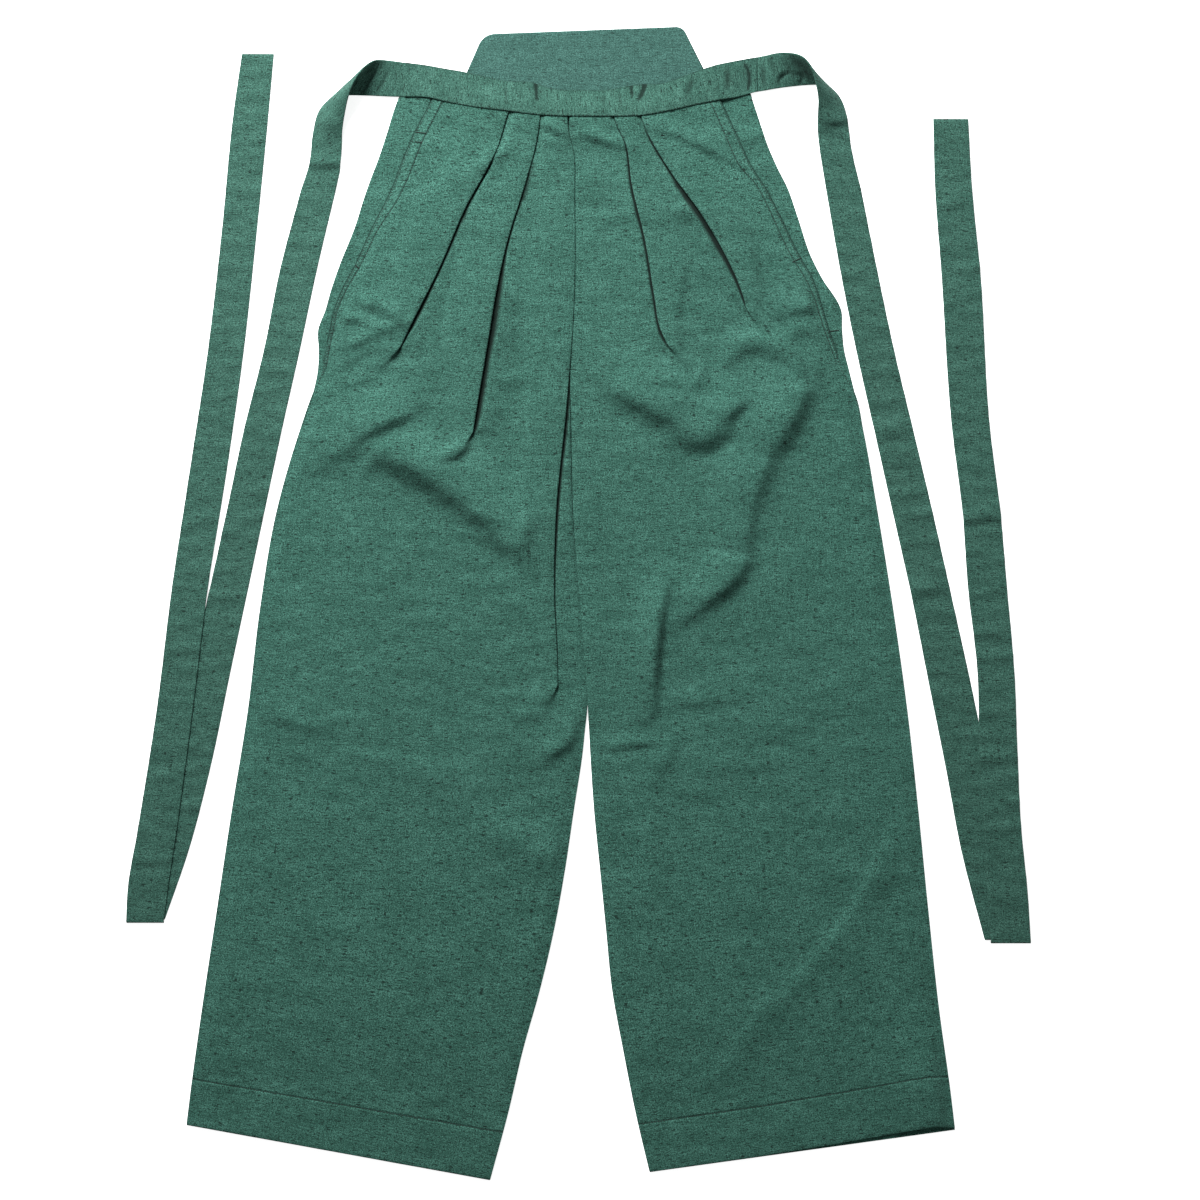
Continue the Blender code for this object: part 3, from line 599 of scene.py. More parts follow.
@dataclass(frozen=True)
class SlubWeave:
    """The weave shared by all the cloth: uneven weft, fine warp, dark slubs and flecks.

    Each pair is the number of features per metre along the weft and along the warp.
    """

    weft: tuple[float, float] = (900, 1300)
    streak: tuple[float, float] = (110, 620)
    warp: tuple[float, float] = (1000, 90)
    cloud: tuple[float, float] = (26, 90)
    long_slub: tuple[float, float] = (150, 950)
    short_slub: tuple[float, float] = (640, 960)
    weft_share: float = 0.5
    other_shares: tuple[float, float, float] = (0.2, 0.1, 0.12)
    grain_range: tuple[float, float] = (0.37, 0.7)
    long_range: tuple[float, float] = (0.745, 0.79)
    short_range: tuple[float, float] = (0.71, 0.74)
    slub_height: float = 0.5
    weft_range: tuple[float, float] = (0.3, 0.7)
    roughness: tuple[float, float] = (0.96, 0.86)

    def group(self) -> bpy.types.NodeTree:
        """Builds the weave's node group.

        Returns:
            A group that turns cloth coordinates in metres into a colour, a height and a roughness.
        """
        tree, given, out = new_group(
            "slub_weave",
            [
                ("Vector", "NodeSocketVector", 0.0),
                ("Thread", "NodeSocketColor", (0.1, 0.2, 0.15, 1.0)),
                ("Shade", "NodeSocketColor", (0.05, 0.1, 0.08, 1.0)),
                ("Slub", "NodeSocketColor", (0.02, 0.04, 0.03, 1.0)),
                ("Slub Amount", "NodeSocketFloat", 1.0),
            ],
            [
                ("Color", "NodeSocketColor"),
                ("Height", "NodeSocketFloat"),
                ("Roughness", "NodeSocketFloat"),
            ],
        )
        wire = Wiring(tree)
        at, thread, shade, dark, amount = given.outputs[:5]
        weft = wire.noise(at, self.weft, detail=1.0)
        streak = wire.noise(at, self.streak, detail=2.0)
        warp = wire.noise(at, self.warp, detail=1.0)
        cloud = wire.noise(at, self.cloud, detail=3.0)
        grain = wire.maths("MULTIPLY", weft, self.weft_share)
        for part, share in zip((streak, warp, cloud), self.other_shares):
            grain = wire.maths("ADD", grain, wire.maths("MULTIPLY", part, share))
        colour = wire.mix(wire.span(grain, *self.grain_range), shade, thread)
        long_slub = wire.span(wire.noise(at, self.long_slub, detail=0.0), *self.long_range)
        short_slub = wire.span(wire.noise(at, self.short_slub, detail=0.0), *self.short_range)
        slub = wire.maths("MULTIPLY", wire.maths("MAXIMUM", long_slub, short_slub), amount)
        wire.feed(
            out,
            {
                "Color": wire.mix(slub, colour, dark),
                "Height": wire.maths("ADD", wire.maths("MULTIPLY", slub, self.slub_height), weft),
                "Roughness": wire.span(weft, *self.weft_range, *self.roughness),
            },
        )
        return tree


@dataclass(frozen=True)
class SlubCotton:
    """Slubby plain-weave cotton: its thread colours, how strongly its weave shows, and its painted shade.
    """

    name: str
    thread: Colour
    shade: Colour
    slub: Colour = (0.003, 0.011, 0.008)
    slub_amount: float = 0.8
    # The painted shade colour is this share of the slub colour, near black.
    painted_shade_share: float = 0.8
    bump: float = 0.35
    bump_depth: float = 0.0004
    specular: float = 0.15
    sheen: float = 0.02
    sheen_roughness: float = 0.6

    def material(self, weave: bpy.types.NodeTree) -> bpy.types.Material:
        """Builds the cloth's material.

        Args:
            weave: The shared weave group.

        Returns:
            The material.
        """
        cloth, wire, shader = new_material(self.name)
        where = wire.add("UVMap", {"uv_map": UV_NAME}, {})
        threads = wire.add(
            "Group",
            {"node_tree": weave},
            {
                "Vector": where.outputs["UV"],
                "Thread": (*self.thread, 1.0),
                "Shade": (*self.shade, 1.0),
                "Slub": (*self.slub, 1.0),
                "Slub Amount": self.slub_amount,
            },
        )
        relief = {"Strength": self.bump, "Distance": self.bump_depth, "Height": threads.outputs["Height"]}
        # Painted shade: each point's painted-shade share mixes the weave towards a near-black green.
        inside = (*(self.painted_shade_share * c for c in self.slub), 1.0)
        painted_dark = wire.add("Attribute", {"attribute_name": PAINTED_SHADE_NAME}, {})
        wire.feed(
            shader,
            {
                "Base Color": wire.mix(painted_dark.outputs["Fac"], threads.outputs["Color"], inside),
                "Roughness": threads.outputs["Roughness"],
                "Normal": wire.add("Bump", {}, relief).outputs["Normal"],
                "Specular IOR Level": self.specular,
                "Sheen Weight": self.sheen,
                "Sheen Roughness": self.sheen_roughness,
            },
        )
        return cloth


@dataclass(frozen=True)
class SewingThread:
    """Spun sewing thread: one dark colour, slightly uneven along its length."""

    name: str
    colour: Colour
    uneven: float = 0.3
    scale: float = 420.0
    roughness: float = 0.75

    def material(self) -> bpy.types.Material:
        """Builds the thread's material.

        Returns:
            The material.
        """
        thread, wire, shader = new_material(self.name)
        where = wire.add("TexCoord", {}, {}).outputs["Object"]
        noise = wire.add("TexNoise", {}, {"Scale": self.scale, "Vector": where})
        shades = (1 - self.uneven, 1 + self.uneven)
        dark, light = ((*(shade * c for c in self.colour), 1.0) for shade in shades)
        colour = wire.mix(noise.outputs["Fac"], dark, light)
        wire.feed(shader, {"Base Color": colour, "Roughness": self.roughness})
        return thread


# Sheets
def to_object(name: str, shape: bmesh.types.BMesh) -> bpy.types.Object:
    """Makes an object at the origin from a bmesh, and frees the bmesh.

    Args:
        name: The name of the object and of its mesh.
        shape: The bmesh.

    Returns:
        The new object.
    """
    mesh = bpy.data.meshes.new(name)
    shape.to_mesh(mesh)
    shape.free()
    made = bpy.data.objects.new(name, mesh)
    bpy.context.scene.collection.objects.link(made)
    return made


def woven_sheet(name: str, points: np.ndarray, cloth_uv: np.ndarray, turned: bool,
                depth: np.ndarray) -> bpy.types.Object:
    """Lays a grid of cloth through rows of points.

    Args:
        name: The name of the solid that the cloth stands for.
        points: Rows by columns by 3, in metres.
        cloth_uv: Rows by columns by 2: each point's place in the flat cloth, in metres.
        turned: Whether the columns run from right to left.
        depth: Rows by columns: the share of painted shade at each point, from 0 to 1.

    Returns:
        The new object.
    """
    rows, columns = points.shape[:2]
    sheet = bmesh.new()
    bmesh.ops.create_grid(sheet, x_segments=columns - 1, y_segments=rows - 1, size=1.0)
    uv = sheet.loops.layers.uv.new(UV_NAME)
    # Layer for each point's share of painted shade.
    folded = sheet.verts.layers.float.new(PAINTED_SHADE_NAME)
    spots = {
        vert: (round((1 - vert.co.y) / 2 * (rows - 1)), round((vert.co.x + 1) / 2 * (columns - 1)))
        for vert in sheet.verts
    }
    for face in sheet.faces:
        face.smooth = True
        for loop in face.loops:
            loop[uv].uv = cloth_uv[spots[loop.vert]]
    for vert, spot in spots.items():
        vert.co = points[spot]
        vert[folded] = depth[spot]
    if turned:
        bmesh.ops.reverse_faces(sheet, faces=sheet.faces)
    return to_object(name + ".cloth", sheet)


def walled(piece: bpy.types.Object, wall: float, rim: float) -> None:
    """Gives a sheet its wall, half to each side, and rounds the rims.

    Args:
        piece: The open sheet.
        wall: Thickness of the wall, in millimetres.
        rim: Width of the rounding, in millimetres.
    """
    solid = piece.modifiers.new("wall", "SOLIDIFY")
    solid.thickness = wall * MM
    solid.offset = 0.0
    solid.use_even_offset = True
    solid.use_quality_normals = True
    edge = piece.modifiers.new("rim", "BEVEL")
    edge.width = rim * MM
    edge.segments = 2
    edge.limit_method = "ANGLE"
    edge.angle_limit = math.radians(55)
    edge.use_clamp_overlap = True


def finish_piece(piece: bpy.types.Object, material: bpy.types.Material, slot: Slot, *nodes: str) -> None:
    """Dresses a piece and sets it on the frame.

    Args:
        piece: The piece.
        material: Its material.
        slot: The record's slot for its finish; not used.
        nodes: The CAD nodes it stands for.
    """
    piece.data.materials.append(material)
    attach(piece, "root")
    if nodes:
        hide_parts(*nodes)
    LOG.info("%s: %d faces before modifiers", piece.name, len(piece.data.polygons))


def path_lengths(points: np.ndarray, axis: int) -> np.ndarray:
    """Measures the distance run along a grid.

    Args:
        points: Rows by columns by 3.
        axis: 0 to run down the columns, 1 to run along the rows.

    Returns:
        The distance at each point, starting from 0.
    """
    steps = np.linalg.norm(np.diff(points, axis=axis), axis=-1)
    start = np.zeros_like(np.take(steps, [0], axis=axis))
    return np.concatenate([start, np.cumsum(steps, axis=axis)], axis=axis)


# Rows of the legs
HEM_TILT: dict[Side, tuple[float, float, float]] = {
    Side.LEFT: (60.4, -211.0, 0.182),
    Side.RIGHT: (59.0, 196.0, -0.139),
}
CENTRE_COLUMNS: dict[Side, int] = {Side.LEFT: 3, Side.RIGHT: 22}
WAIST_FADE = (84.0, 80.0)
BOARD_FADE = (BOARD_ROW, 60.0)
HEM_BACK = (880.0, 50.0)
DEPTH_EASE = (BAND_ROW, 70.0)


def hem_shift(row: float, side: Side, across: np.ndarray) -> np.ndarray:
    """How far a row moves down to follow the sloping hem of its leg."""
    shift, middle, slope = HEM_TILT[side]
    return (shift + (across - middle) * slope) * ease(row, HEM_START, HEM_ROW - HEM_START)


def front_down(row: float, side: Side, across: np.ndarray) -> np.ndarray:
    """How far down a front row lies: rows follow the waistband, then the hem.

    Args:
        row: The row.
        side: The half of the garment.
        across: Places across.

    Returns:
        The place down at each place across.
    """
    waist = (read(BAND, "bottom", across) - BAND_ROW) * fade(row, *WAIST_FADE)
    back = read_straight(HEM_OPEN[side], "back", across)
    return row + waist + hem_shift(row, side, across) - back * ease(row, *HEM_BACK)


def back_down(row: float, side: Side, across: np.ndarray) -> np.ndarray:
    """How far down a back row lies: the first rows follow the waist board's foot."""
    top = (read_straight(BACK_TOP, "down", across) - BOARD_ROW) * fade(row, *BOARD_FADE)
    return row + top + hem_shift(row, side, across)


def meet(row: float, side: Side, edge: Edge, row_down: RowDown = front_down, rounds: int = 4) -> float:
    """Finds where an edge crosses a row.

    Args:
        row: The row.
        side: The half of the garment.
        edge: The edge's place across, as a function of down.
        row_down: The row's place down, as a function of row, side and across.
        rounds: How often the place is bettered.

    Returns:
        The place across.
    """
    across = edge(row)
    for _ in range(rounds):
        across = edge(row_down(row, side, across))
    return float(across)


@dataclass(frozen=True)
class Pleat:
    """A knife pleat: its fold edge, its gape, the row where it opens out, its depth and rise."""

    edge: Sizes
    gape: Sizes
    end: float
    depth: float
    rise: float
    waist_depth: float = 17.0
    step: float = 0.5
    tip_depth: float = 2.0
    tip_slope: float = 0.3

    def sizes(self, row: float) -> tuple[float, float, float]:
        """Gives the fold's sizes at a row.

        Args:
            row: The row.

        Returns:
            How far it is folded, the length of a step of its bend, and its hidden run.
        """
        past = row - self.end
        if past > 0:
            return tuple(float(read_straight(OPENING, c, past)) for c in ("turn", "step", "run"))
        depth = self.waist_depth + (self.depth - self.waist_depth) * ease(row, *DEPTH_EASE)
        return 1.0, self.step, float(min(depth, self.tip_depth - self.tip_slope * past))


OUTER_LEFT = Pleat(
    edge=table("down across", [
        (66, -58), (77, -62), (108, -71.7), (161, -99.9), (212, -121.9), (265, -148.3), (289, -159.7),
        (420, -185), (640, -205), (1000, -262),
    ]),
    gape=table("down width", [
        (72, 0.1), (100, 0.2), (120, 0.8), (128, 2.6), (135, 3.2), (165, 3), (207, 2.4), (226, 2.8),
        (245, 4.2), (262, 4.2), (270, 2.2), (283, 1.4), (293, 0),
    ]),
    end=281,
    depth=24,
    rise=22,
)
INNER_LEFT = Pleat(
    edge=table("down across", [
        (66, -33), (80, -33.9), (99, -36.5), (139, -47.1), (187, -62), (240, -73.5), (267, -77.9),
        (363, -93.7), (420, -102), (640, -116), (1000, -190),
    ]),
    gape=table("down width", [
        (72, 0.2), (112, 0.4), (131, 1.4), (154, 1.8), (198, 2), (211, 3.4), (232, 6), (251, 6.6),
        (267, 7), (289, 5.4), (316, 5.6), (340, 5.6), (355, 3.6), (368, 0),
    ]),
    end=355,
    depth=28,
    rise=12,
)
CENTRE = Pleat(
    edge=table("down across", [
        (66, -9.2), (91, -9.2), (108, -5), (152, -3.6), (240, -4), (328, -10.1), (434, -20.2),
        (504, -21.4), (552, -19), (577, -18.5), (640, -23), (700, -38), (1000, -118),
    ]),
    gape=table("down width", [
        (72, 0.2), (95, 0.4), (102, 3), (109, 1.4), (150, 0.6), (300, 0.7), (331, 3), (430, 3),
        (469, 1.6), (500, 0.9), (555, 0.4), (568, 0),
    ]),
    end=577,
    depth=22,
    rise=20,
)
INNER_RIGHT = Pleat(
    edge=table("down across", [
        (66, 30), (82, 32.1), (104, 41.8), (139, 47.1), (187, 58.5), (240, 67.3), (265, 71.7), (284, 80),
        (420, 92), (640, 105), (1000, 140),
    ]),
    gape=table("down width", [
        (72, 0.2), (100, 0.9), (119, 2), (148, 2.4), (166, 3.4), (178, 2.4), (240, 2.4), (262, 2),
        (270, 3.4), (280, 2.6), (290, 0),
    ]),
    end=278,
    depth=22,
    rise=12,
)
OUTER_RIGHT = Pleat(
    edge=table("down across", [
        (66, 52), (84, 56.8), (130, 82.3), (164, 106.9), (196, 126.3), (240, 145.6), (252, 148.5),
        (420, 178), (640, 200), (1000, 238),
    ]),
    gape=table("down width", [
        (72, 0.2), (90, 0.8), (107, 2.2), (124, 3.2), (139, 4.6), (154, 6), (162, 7.6), (170, 6),
        (194, 6.4), (207, 4.8), (224, 3.2), (238, 2.2), (251, 0),
    ]),
    end=246,
    depth=22,
    rise=12,
)


@dataclass(frozen=True)
class OpenFold:
    """A fold edge seen from beyond it: its place, the width that it gapes and its turn."""

    edge: float
    gape: float
    turn: float
    lip_shares: tuple[float, ...] = (0.1, 0.5, 1.0, 1.0, 1.0)
    lip_steps: tuple[float, ...] = (0.3, 0.6, 1.0, 2.0, 4.0)
    lip_room: float = 8.0
    lip_width: tuple[float, float] = (3.0, 5.0)
    swell_fall: float = 16.0

    def lips(self, last: float, until: float, extra: int = 0) -> tuple[np.ndarray, np.ndarray]:
        """Points of the cloth that comes out under the fold edge, closer together in the gape.

        Args:
            last: Where the cloth starts, under the fold.
            until: Where the points end.
            extra: Points added over the plain cloth.

        Returns:
            The places across, and the share of painted shade at each, dark in the gape.
        """
        room = until - self.edge
        stretch = min(1.0, max(room, self.lip_width[0]) / (self.gape + self.lip_room))
        lip = np.array(self.lip_shares) * self.gape + np.array(self.lip_steps)
        near = self.edge + stretch * lip
        under = np.linspace(last, self.edge, 4)[1:]
        far = np.linspace(near[-1], until, 4 + extra)[1:]
        close = np.concatenate([under, near, far])
        even = np.linspace(last, until, len(close) + 1)[1:]
        across = even + (close - even) * float(ease(room, *self.lip_width) * smooth(self.turn * 1.5))
        # Painted shade: dark in the gape under the fold edge, fading beyond it.
        painted_dark = fade(across - self.edge, 0.75 * self.gape + 0.1, 0.35 * self.gape + 0.7)
        return across, painted_dark * self.turn

    def swell(self, across: np.ndarray) -> np.ndarray:
        """Raises the cloth just beyond the gape.

        Args:
            across: Places across.

        Returns:
            The height that it adds at each place.
        """
        rise = ease(across - self.edge, 0.4 * self.gape, 0.6 * self.gape + 0.8)
        beyond = np.maximum(across - self.edge - self.gape, 0)
        settled = np.exp(-((beyond / self.swell_fall) ** 2))
        return (0.3 + 0.55 * self.gape) * self.turn * rise * settled


@dataclass
class FrontPanel:
    """A front panel with its knife pleats, drape folds, hem and slanted slit edge."""

    side: Side
    pleats: tuple[Pleat, ...]
    cut: tuple[float, float]
    cut_area: float
    wall: float = 0.7
    edge_height: float = 2.0
    inside_height: float = 3.6
    hem_height: float = 2.5
    deepest: float = -0.6
    edge_roll: float = 14.0
    edge_columns: int = 21
    side_columns: int = 18
    seam_dip: float = 0.9
    seam_width: float = 2.2
    puff_fade: tuple[float, float] = (860.0, 90.0)
    band_fade: tuple[float, float] = (82.0, 34.0)
    band_leave: tuple[float, float] = (81.0, 6.0)
    slit_fade: float = 14.0
    groove: float = 0.5
    groove_width: float = 0.6
    hem_groove_width: float = 0.7
    turned: float = 0.35
    slit_soft: tuple[float, float] = (1.5, 0.8)
    hem_soft: float = 1.2
    # Shares of painted shade: in the slit's stitch groove, on the slit edge's rim and in the hem's stitch
    # groove.
    painted_groove_shade: float = 0.7
    rim_width: float = 0.7
    painted_rim_shade: float = 0.55
    painted_hem_shade: float = 0.6
    hem_rows: tuple[float, float] = (878.0, 895.0)
    bend_steps: int = 4
    rise_steps: int = 4
    top_steps: int = 5
    clearance: float = 3.0
    run_spare: float = 6.0
    roll_clear: float = 1.0
    fold_clear: float = 1.5
    gape_spread: float = 0.16
    # Painted shade on the hidden half of each bend: a base share and a share per millimetre of gape.
    painted_gape_shade: tuple[float, float] = (0.1, 0.7)
    crotch_blend: float = 40.0
    band_gap: float = 0.85
    band_spots: float = 2.0
    band_reach: float = 3.0
    band_around: float = 26.0
    row_step: float = 3.0
    hem_step: float = 0.6
    hem_counts: tuple[int, int] = (63, 12)
    edge_inset: float = 1.1

    @property
    def name(self) -> str:
        """The name shared by the piece and its CAD node."""
        return "front_panel_" + self.side.value

    def rows(self) -> np.ndarray:
        """Lists the rows of the grid, closest together at the hem's stitches.

        Returns:
            The rows, from the waist to the hem.
        """
        hem = self.hem_rows
        above, below = self.hem_counts
        legs = [np.arange(WAIST_ROW, HEM_START, self.row_step), np.linspace(HEM_START, hem[0], above)[:-1]]
        return np.concatenate([*legs, np.arange(*hem, self.hem_step), np.linspace(hem[1], HEM_ROW, below)])

    def chain(self, turn: float, step: float, run: float) -> np.ndarray:
        """Draws a pleat's cross-section: round the fold edge, back, and forward again.

        Args:
            turn: Share of a full fold.
            step: Length of a step of the bend.
            run: Length of the hidden run.

        Returns:
            Points across and up, with the fold edge at 0 across.
        """
        bends = [math.pi * (i + 0.5) / self.bend_steps for i in range(self.bend_steps)]
        step *= 2 / sum(math.sin(bend) for bend in bends)
        headings = [turn * bend for bend in bends]
        turns = headings + [math.pi * turn] + headings[::-1]
        lengths = [step] * self.bend_steps + [run] + [step] * self.bend_steps
        moves = [(length * math.cos(a), -length * math.sin(a)) for length, a in zip(lengths, turns)]
        chain = np.vstack([(0.0, 0.0), np.cumsum(moves, axis=0)])
        chain[:, 0] -= chain[:, 0].max()
        return chain

    def approach(self, last: float, fold: OpenFold, start: float, clear_of: float, hidden: float,
                 turn: float, rise: float, extra: int) -> tuple[np.ndarray, np.ndarray, np.ndarray]:
        """Runs from one fold's lowest layer on to the next pleat's top layer.

        Args:
            last: Where the lowest layer's points start, under the fold before.
            fold: The fold before.
            start: Where the pleat's top layer starts to bend.
            clear_of: Where the rise may start.
            hidden: The hidden fold under the pleat.
            turn: How far the pleat is folded.
            rise: Width of the rise.
            extra: Points added over the plain cloth.

        Returns:
            The places across, the share of the rise at each, and the share of painted shade at each in the
            gape.
        """
        rise_end = min(start - 2.0, hidden - self.clearance)
        rise_start = max(rise_end - rise, clear_of)
        plain, painted_dark = fold.lips(last, rise_start, extra)
        rising = np.linspace(rise_start, rise_end, self.rise_steps + 1)[1:]
        top = np.linspace(rise_end, start, self.top_steps + 1)[1:-1]
        folded = np.concatenate([plain, rising, top])
        even = np.linspace(last, start, len(folded) + 2)[1:-1]
        across = even + (folded - even) * smooth(turn * 1.5)
        painted_dark = np.concatenate([painted_dark, np.zeros(len(rising) + len(top))])
        return across, ease(across, rise_start, rise_end - rise_start), painted_dark

    def base(self, across: np.ndarray, down: np.ndarray, outer: float, inner: float,
             is_leg: float) -> np.ndarray:
        """Height of the lowest layer: puffed inside, down on the back panel at its seams.

        Args:
            across: Places across.
            down: Places down.
            outer: The side edge's place across.
            inner: The centre edge's place across.
            is_leg: 0 above the crotch, 1 below it, where the centre edge is a seam too.

        Returns:
            The height at each place.
        """
        puff = fade(down, *self.puff_fade)
        inside = self.hem_height + (self.inside_height - self.hem_height) * puff
        from_side = smooth(np.abs(across - outer) / self.edge_roll)
        from_seam = smooth(np.abs(across - inner) / self.edge_roll)
        edge = from_side * (from_seam * is_leg + 1 - is_leg)
        relief = FRONT_RELIEF.drape(across, down) + FRONT_RELIEF.fine(across, down)
        return self.edge_height + (inside - self.edge_height + np.maximum(relief, self.deepest)) * edge

    def under_band(self, row: float, across: np.ndarray, height: np.ndarray) -> np.ndarray:
        """How far the cloth rises to meet the waistband that is sewn over it.

        Args:
            row: The row.
            across: Places across.
            height: The cloth's height at each place.

        Returns:
            The height to add at each place, the same for every layer of a pleat.
        """
        close = fade(row, *self.band_fade)
        if close == 0:
            return np.zeros(across.shape)
        spots = np.arange(across.min(), across.max() + self.band_spots, self.band_spots)
        near = [np.abs(across - spot) < self.band_reach for spot in spots]
        tops = np.array([height[close_by].max(initial=0.0) for close_by in near])
        room = np.maximum(read_straight(BAND, "low_height", spots) - self.band_gap - tops, 0)
        around = np.array([room[np.abs(spots - spot) < self.band_around].mean() for spot in spots])
        free = ease(row, *self.band_leave)
        return np.interp(across, spots, room + (around - room) * free) * close

    def slit(self, down: float, inset: np.ndarray) -> tuple[np.ndarray, np.ndarray]:
        """Shapes the turned and stitched edge of the side slit.

        Args:
            down: How far down the edge is.
            inset: Distances from the edge.

        Returns:
            The height added at each distance, and the painted shade in the stitch groove and on the edge's
            rim.
        """
        sewn = float(read_straight(SLIT_STITCHES[self.side], "inset", down))
        left = fade(down, SLIT_END[self.side], self.slit_fade)
        line = np.exp(-(((inset - sewn) / self.groove_width) ** 2)) * left
        rising, falling = self.slit_soft
        turned = ease(inset, 0, rising) * fade(inset, sewn, falling) * left
        # Painted shade along the edge's rim and in the stitch groove, where shade falls.
        rim = np.exp(-((inset / self.rim_width) ** 2)) * left
        return self.turned * turned - self.groove * line, self.painted_groove_shade * line + self.painted_rim_shade * rim

    def hem(self, row: float, across: np.ndarray) -> tuple[np.ndarray, np.ndarray]:
        """Shapes the turned and stitched hem.

        Args:
            row: The row.
            across: Places across.

        Returns:
            The height added at each place, and the painted shade in the stitch groove.
        """
        sewn = read_straight(HEM_STITCHES[self.side], "row", across)
        line = np.exp(-(((row - sewn) / self.hem_groove_width) ** 2))
        turned = ease(row, sewn, self.hem_soft) * self.turned
        # Painted shade in the hem's stitch groove.
        return turned - self.groove * line, self.painted_hem_shade * line

    def section(self, row: float) -> np.ndarray:
        """Draws one section from the side edge to the centre.

        Args:
            row: The row.

        Returns:
            Points of across, down, height and share of painted shade.
        """
        flip = self.side.flip
        outer = flip * meet(row, self.side, lambda d: read(SIDES[self.side], "front", d))
        seam = flip * meet(row, self.side, lambda d: read(SEAMS, self.side.value, d))
        seam -= FRONT_SEAM_GAP / 2
        inset = np.linspace(0, self.edge_roll, self.edge_columns)
        across = [*(outer + inset)]
        edge_lift, edge_painted_shade = self.slit(float(front_down(row, self.side, flip * outer)), inset)
        lift, painted_dark = [*edge_lift], [*edge_painted_shade]
        fold = OpenFold(across[-1], 0.0, 0.0)
        clear_of = outer + self.edge_roll + self.roll_clear
        for pleat in self.pleats:
            edge = flip * meet(row, self.side, lambda d: read(pleat.edge, "across", d))
            turn, step, run = pleat.sizes(row)
            gape = float(read_straight(pleat.gape, "width", row)) * turn
            run = min(run, edge - clear_of - self.clearance - self.run_spare)
            chain = self.chain(turn, step * (1 + self.gape_spread * gape), run)
            start, hidden = edge + chain[0, 0], edge + chain[:, 0].min()
            extra = self.side_columns if pleat is self.pleats[0] else 2
            places, shares, gape_painted_shade = self.approach(
                across[-1], fold, start, clear_of, hidden, turn, pleat.rise, extra
            )
            across += [*places, *(edge + chain[:, 0])]
            lift += [*(fold.swell(places) * (1 - shares) - chain[-1, 1] * shares)]
            lift += [*(chain[:, 1] - chain[-1, 1])]
            under = np.arange(len(chain)) > self.bend_steps // 2
            # Painted shade on the half of the bend under the fold edge, darker as the gape widens.
            dark, darker = self.painted_gape_shade
            painted_dark += [*gape_painted_shade, *(under * turn * min(1.0, dark + darker * gape))]
            fold = OpenFold(edge, gape, turn)
            clear_of = edge + self.fold_clear
        plain, gape_painted_shade = fold.lips(across[-1], seam, CENTRE_COLUMNS[self.side])
        across += [*plain]
        lift += [*fold.swell(plain)]
        painted_dark += [*gape_painted_shade]
        places = flip * np.array(across)
        down = front_down(row, self.side, places)
        is_leg = float(ease(row, CROTCH_DOWN - self.crotch_blend / 2, self.crotch_blend))
        height = self.base(places, down, flip * outer, flip * seam, is_leg) + np.array(lift)
        height += self.under_band(row, places, height)
        height -= self.seam_dip * fade(seam - np.array(across), 0, self.seam_width) * (1 - is_leg)
        hem_lift, painted_hem_shade = self.hem(row, places)
        return np.stack([places, down, height + hem_lift, np.maximum(painted_dark, painted_hem_shade)], axis=-1)

    def build(self, material: bpy.types.Material) -> bpy.types.Object:
        """Builds the panel and puts it in place of its solid.

        Args:
            material: The cloth's material.

        Returns:
            The piece.
        """
        rows = self.rows()
        grid = np.array([self.section(row) for row in rows])
        points = place(grid[..., 0], grid[..., 1], grid[..., 2])
        run = path_lengths(points, axis=1)
        along = np.broadcast_to(rows[:, None] * MM, run.shape)
        cloth = np.stack([(run[:, -1:] - run) * self.side.flip, -along], axis=-1)
        piece = woven_sheet(self.name, points, cloth, self.side is Side.RIGHT, grid[..., 3])
        walled(piece, self.wall, 0.3)
        finish_piece(piece, material, Slot.LEG, self.name)
        return piece

    def slit_seam(self) -> "StitchLine":
        """Lays out the row of stitches along the slit edge.

        Returns:
            The row.
        """
        downs = np.arange(SLIT_TOP, SLIT_END[self.side] + 1, 3.0)
        inset = read_straight(SLIT_STITCHES[self.side], "inset", downs)
        front = read(SIDES[self.side], "front", downs)
        return StitchLine(tuple(zip(front + self.side.flip * inset, downs)))

    def edge_seam(self) -> "StitchLine":
        """Lays out the row of stitches close to the very edge of the slit.

        Returns:
            The row.
        """
        downs = np.arange(SLIT_TOP, SLIT_FOOT, 3.0)
        front = read(SIDES[self.side], "front", downs)
        return StitchLine(tuple(zip(front + self.side.flip * self.edge_inset, downs)))

    def hem_seam(self) -> "StitchLine":
        """Lays out the row of stitches that holds the hem.

        Returns:
            The row.
        """
        sizes = HEM_STITCHES[self.side]
        across = np.linspace(sizes["across"][0], sizes["across"][-1], 60)
        rows = read_straight(sizes, "row", across)
        return StitchLine(tuple(zip(across, front_down(rows, self.side, across))))

    def bar_tacks(self) -> list["StitchLine"]:
        """Lays out the short dense bars of thread across the slit edge."""
        bars = BAR_TACKS[self.side]
        return [StitchLine(ends, pitch=0.45, length=0.5, width=1.4, height=0.9) for ends in bars]


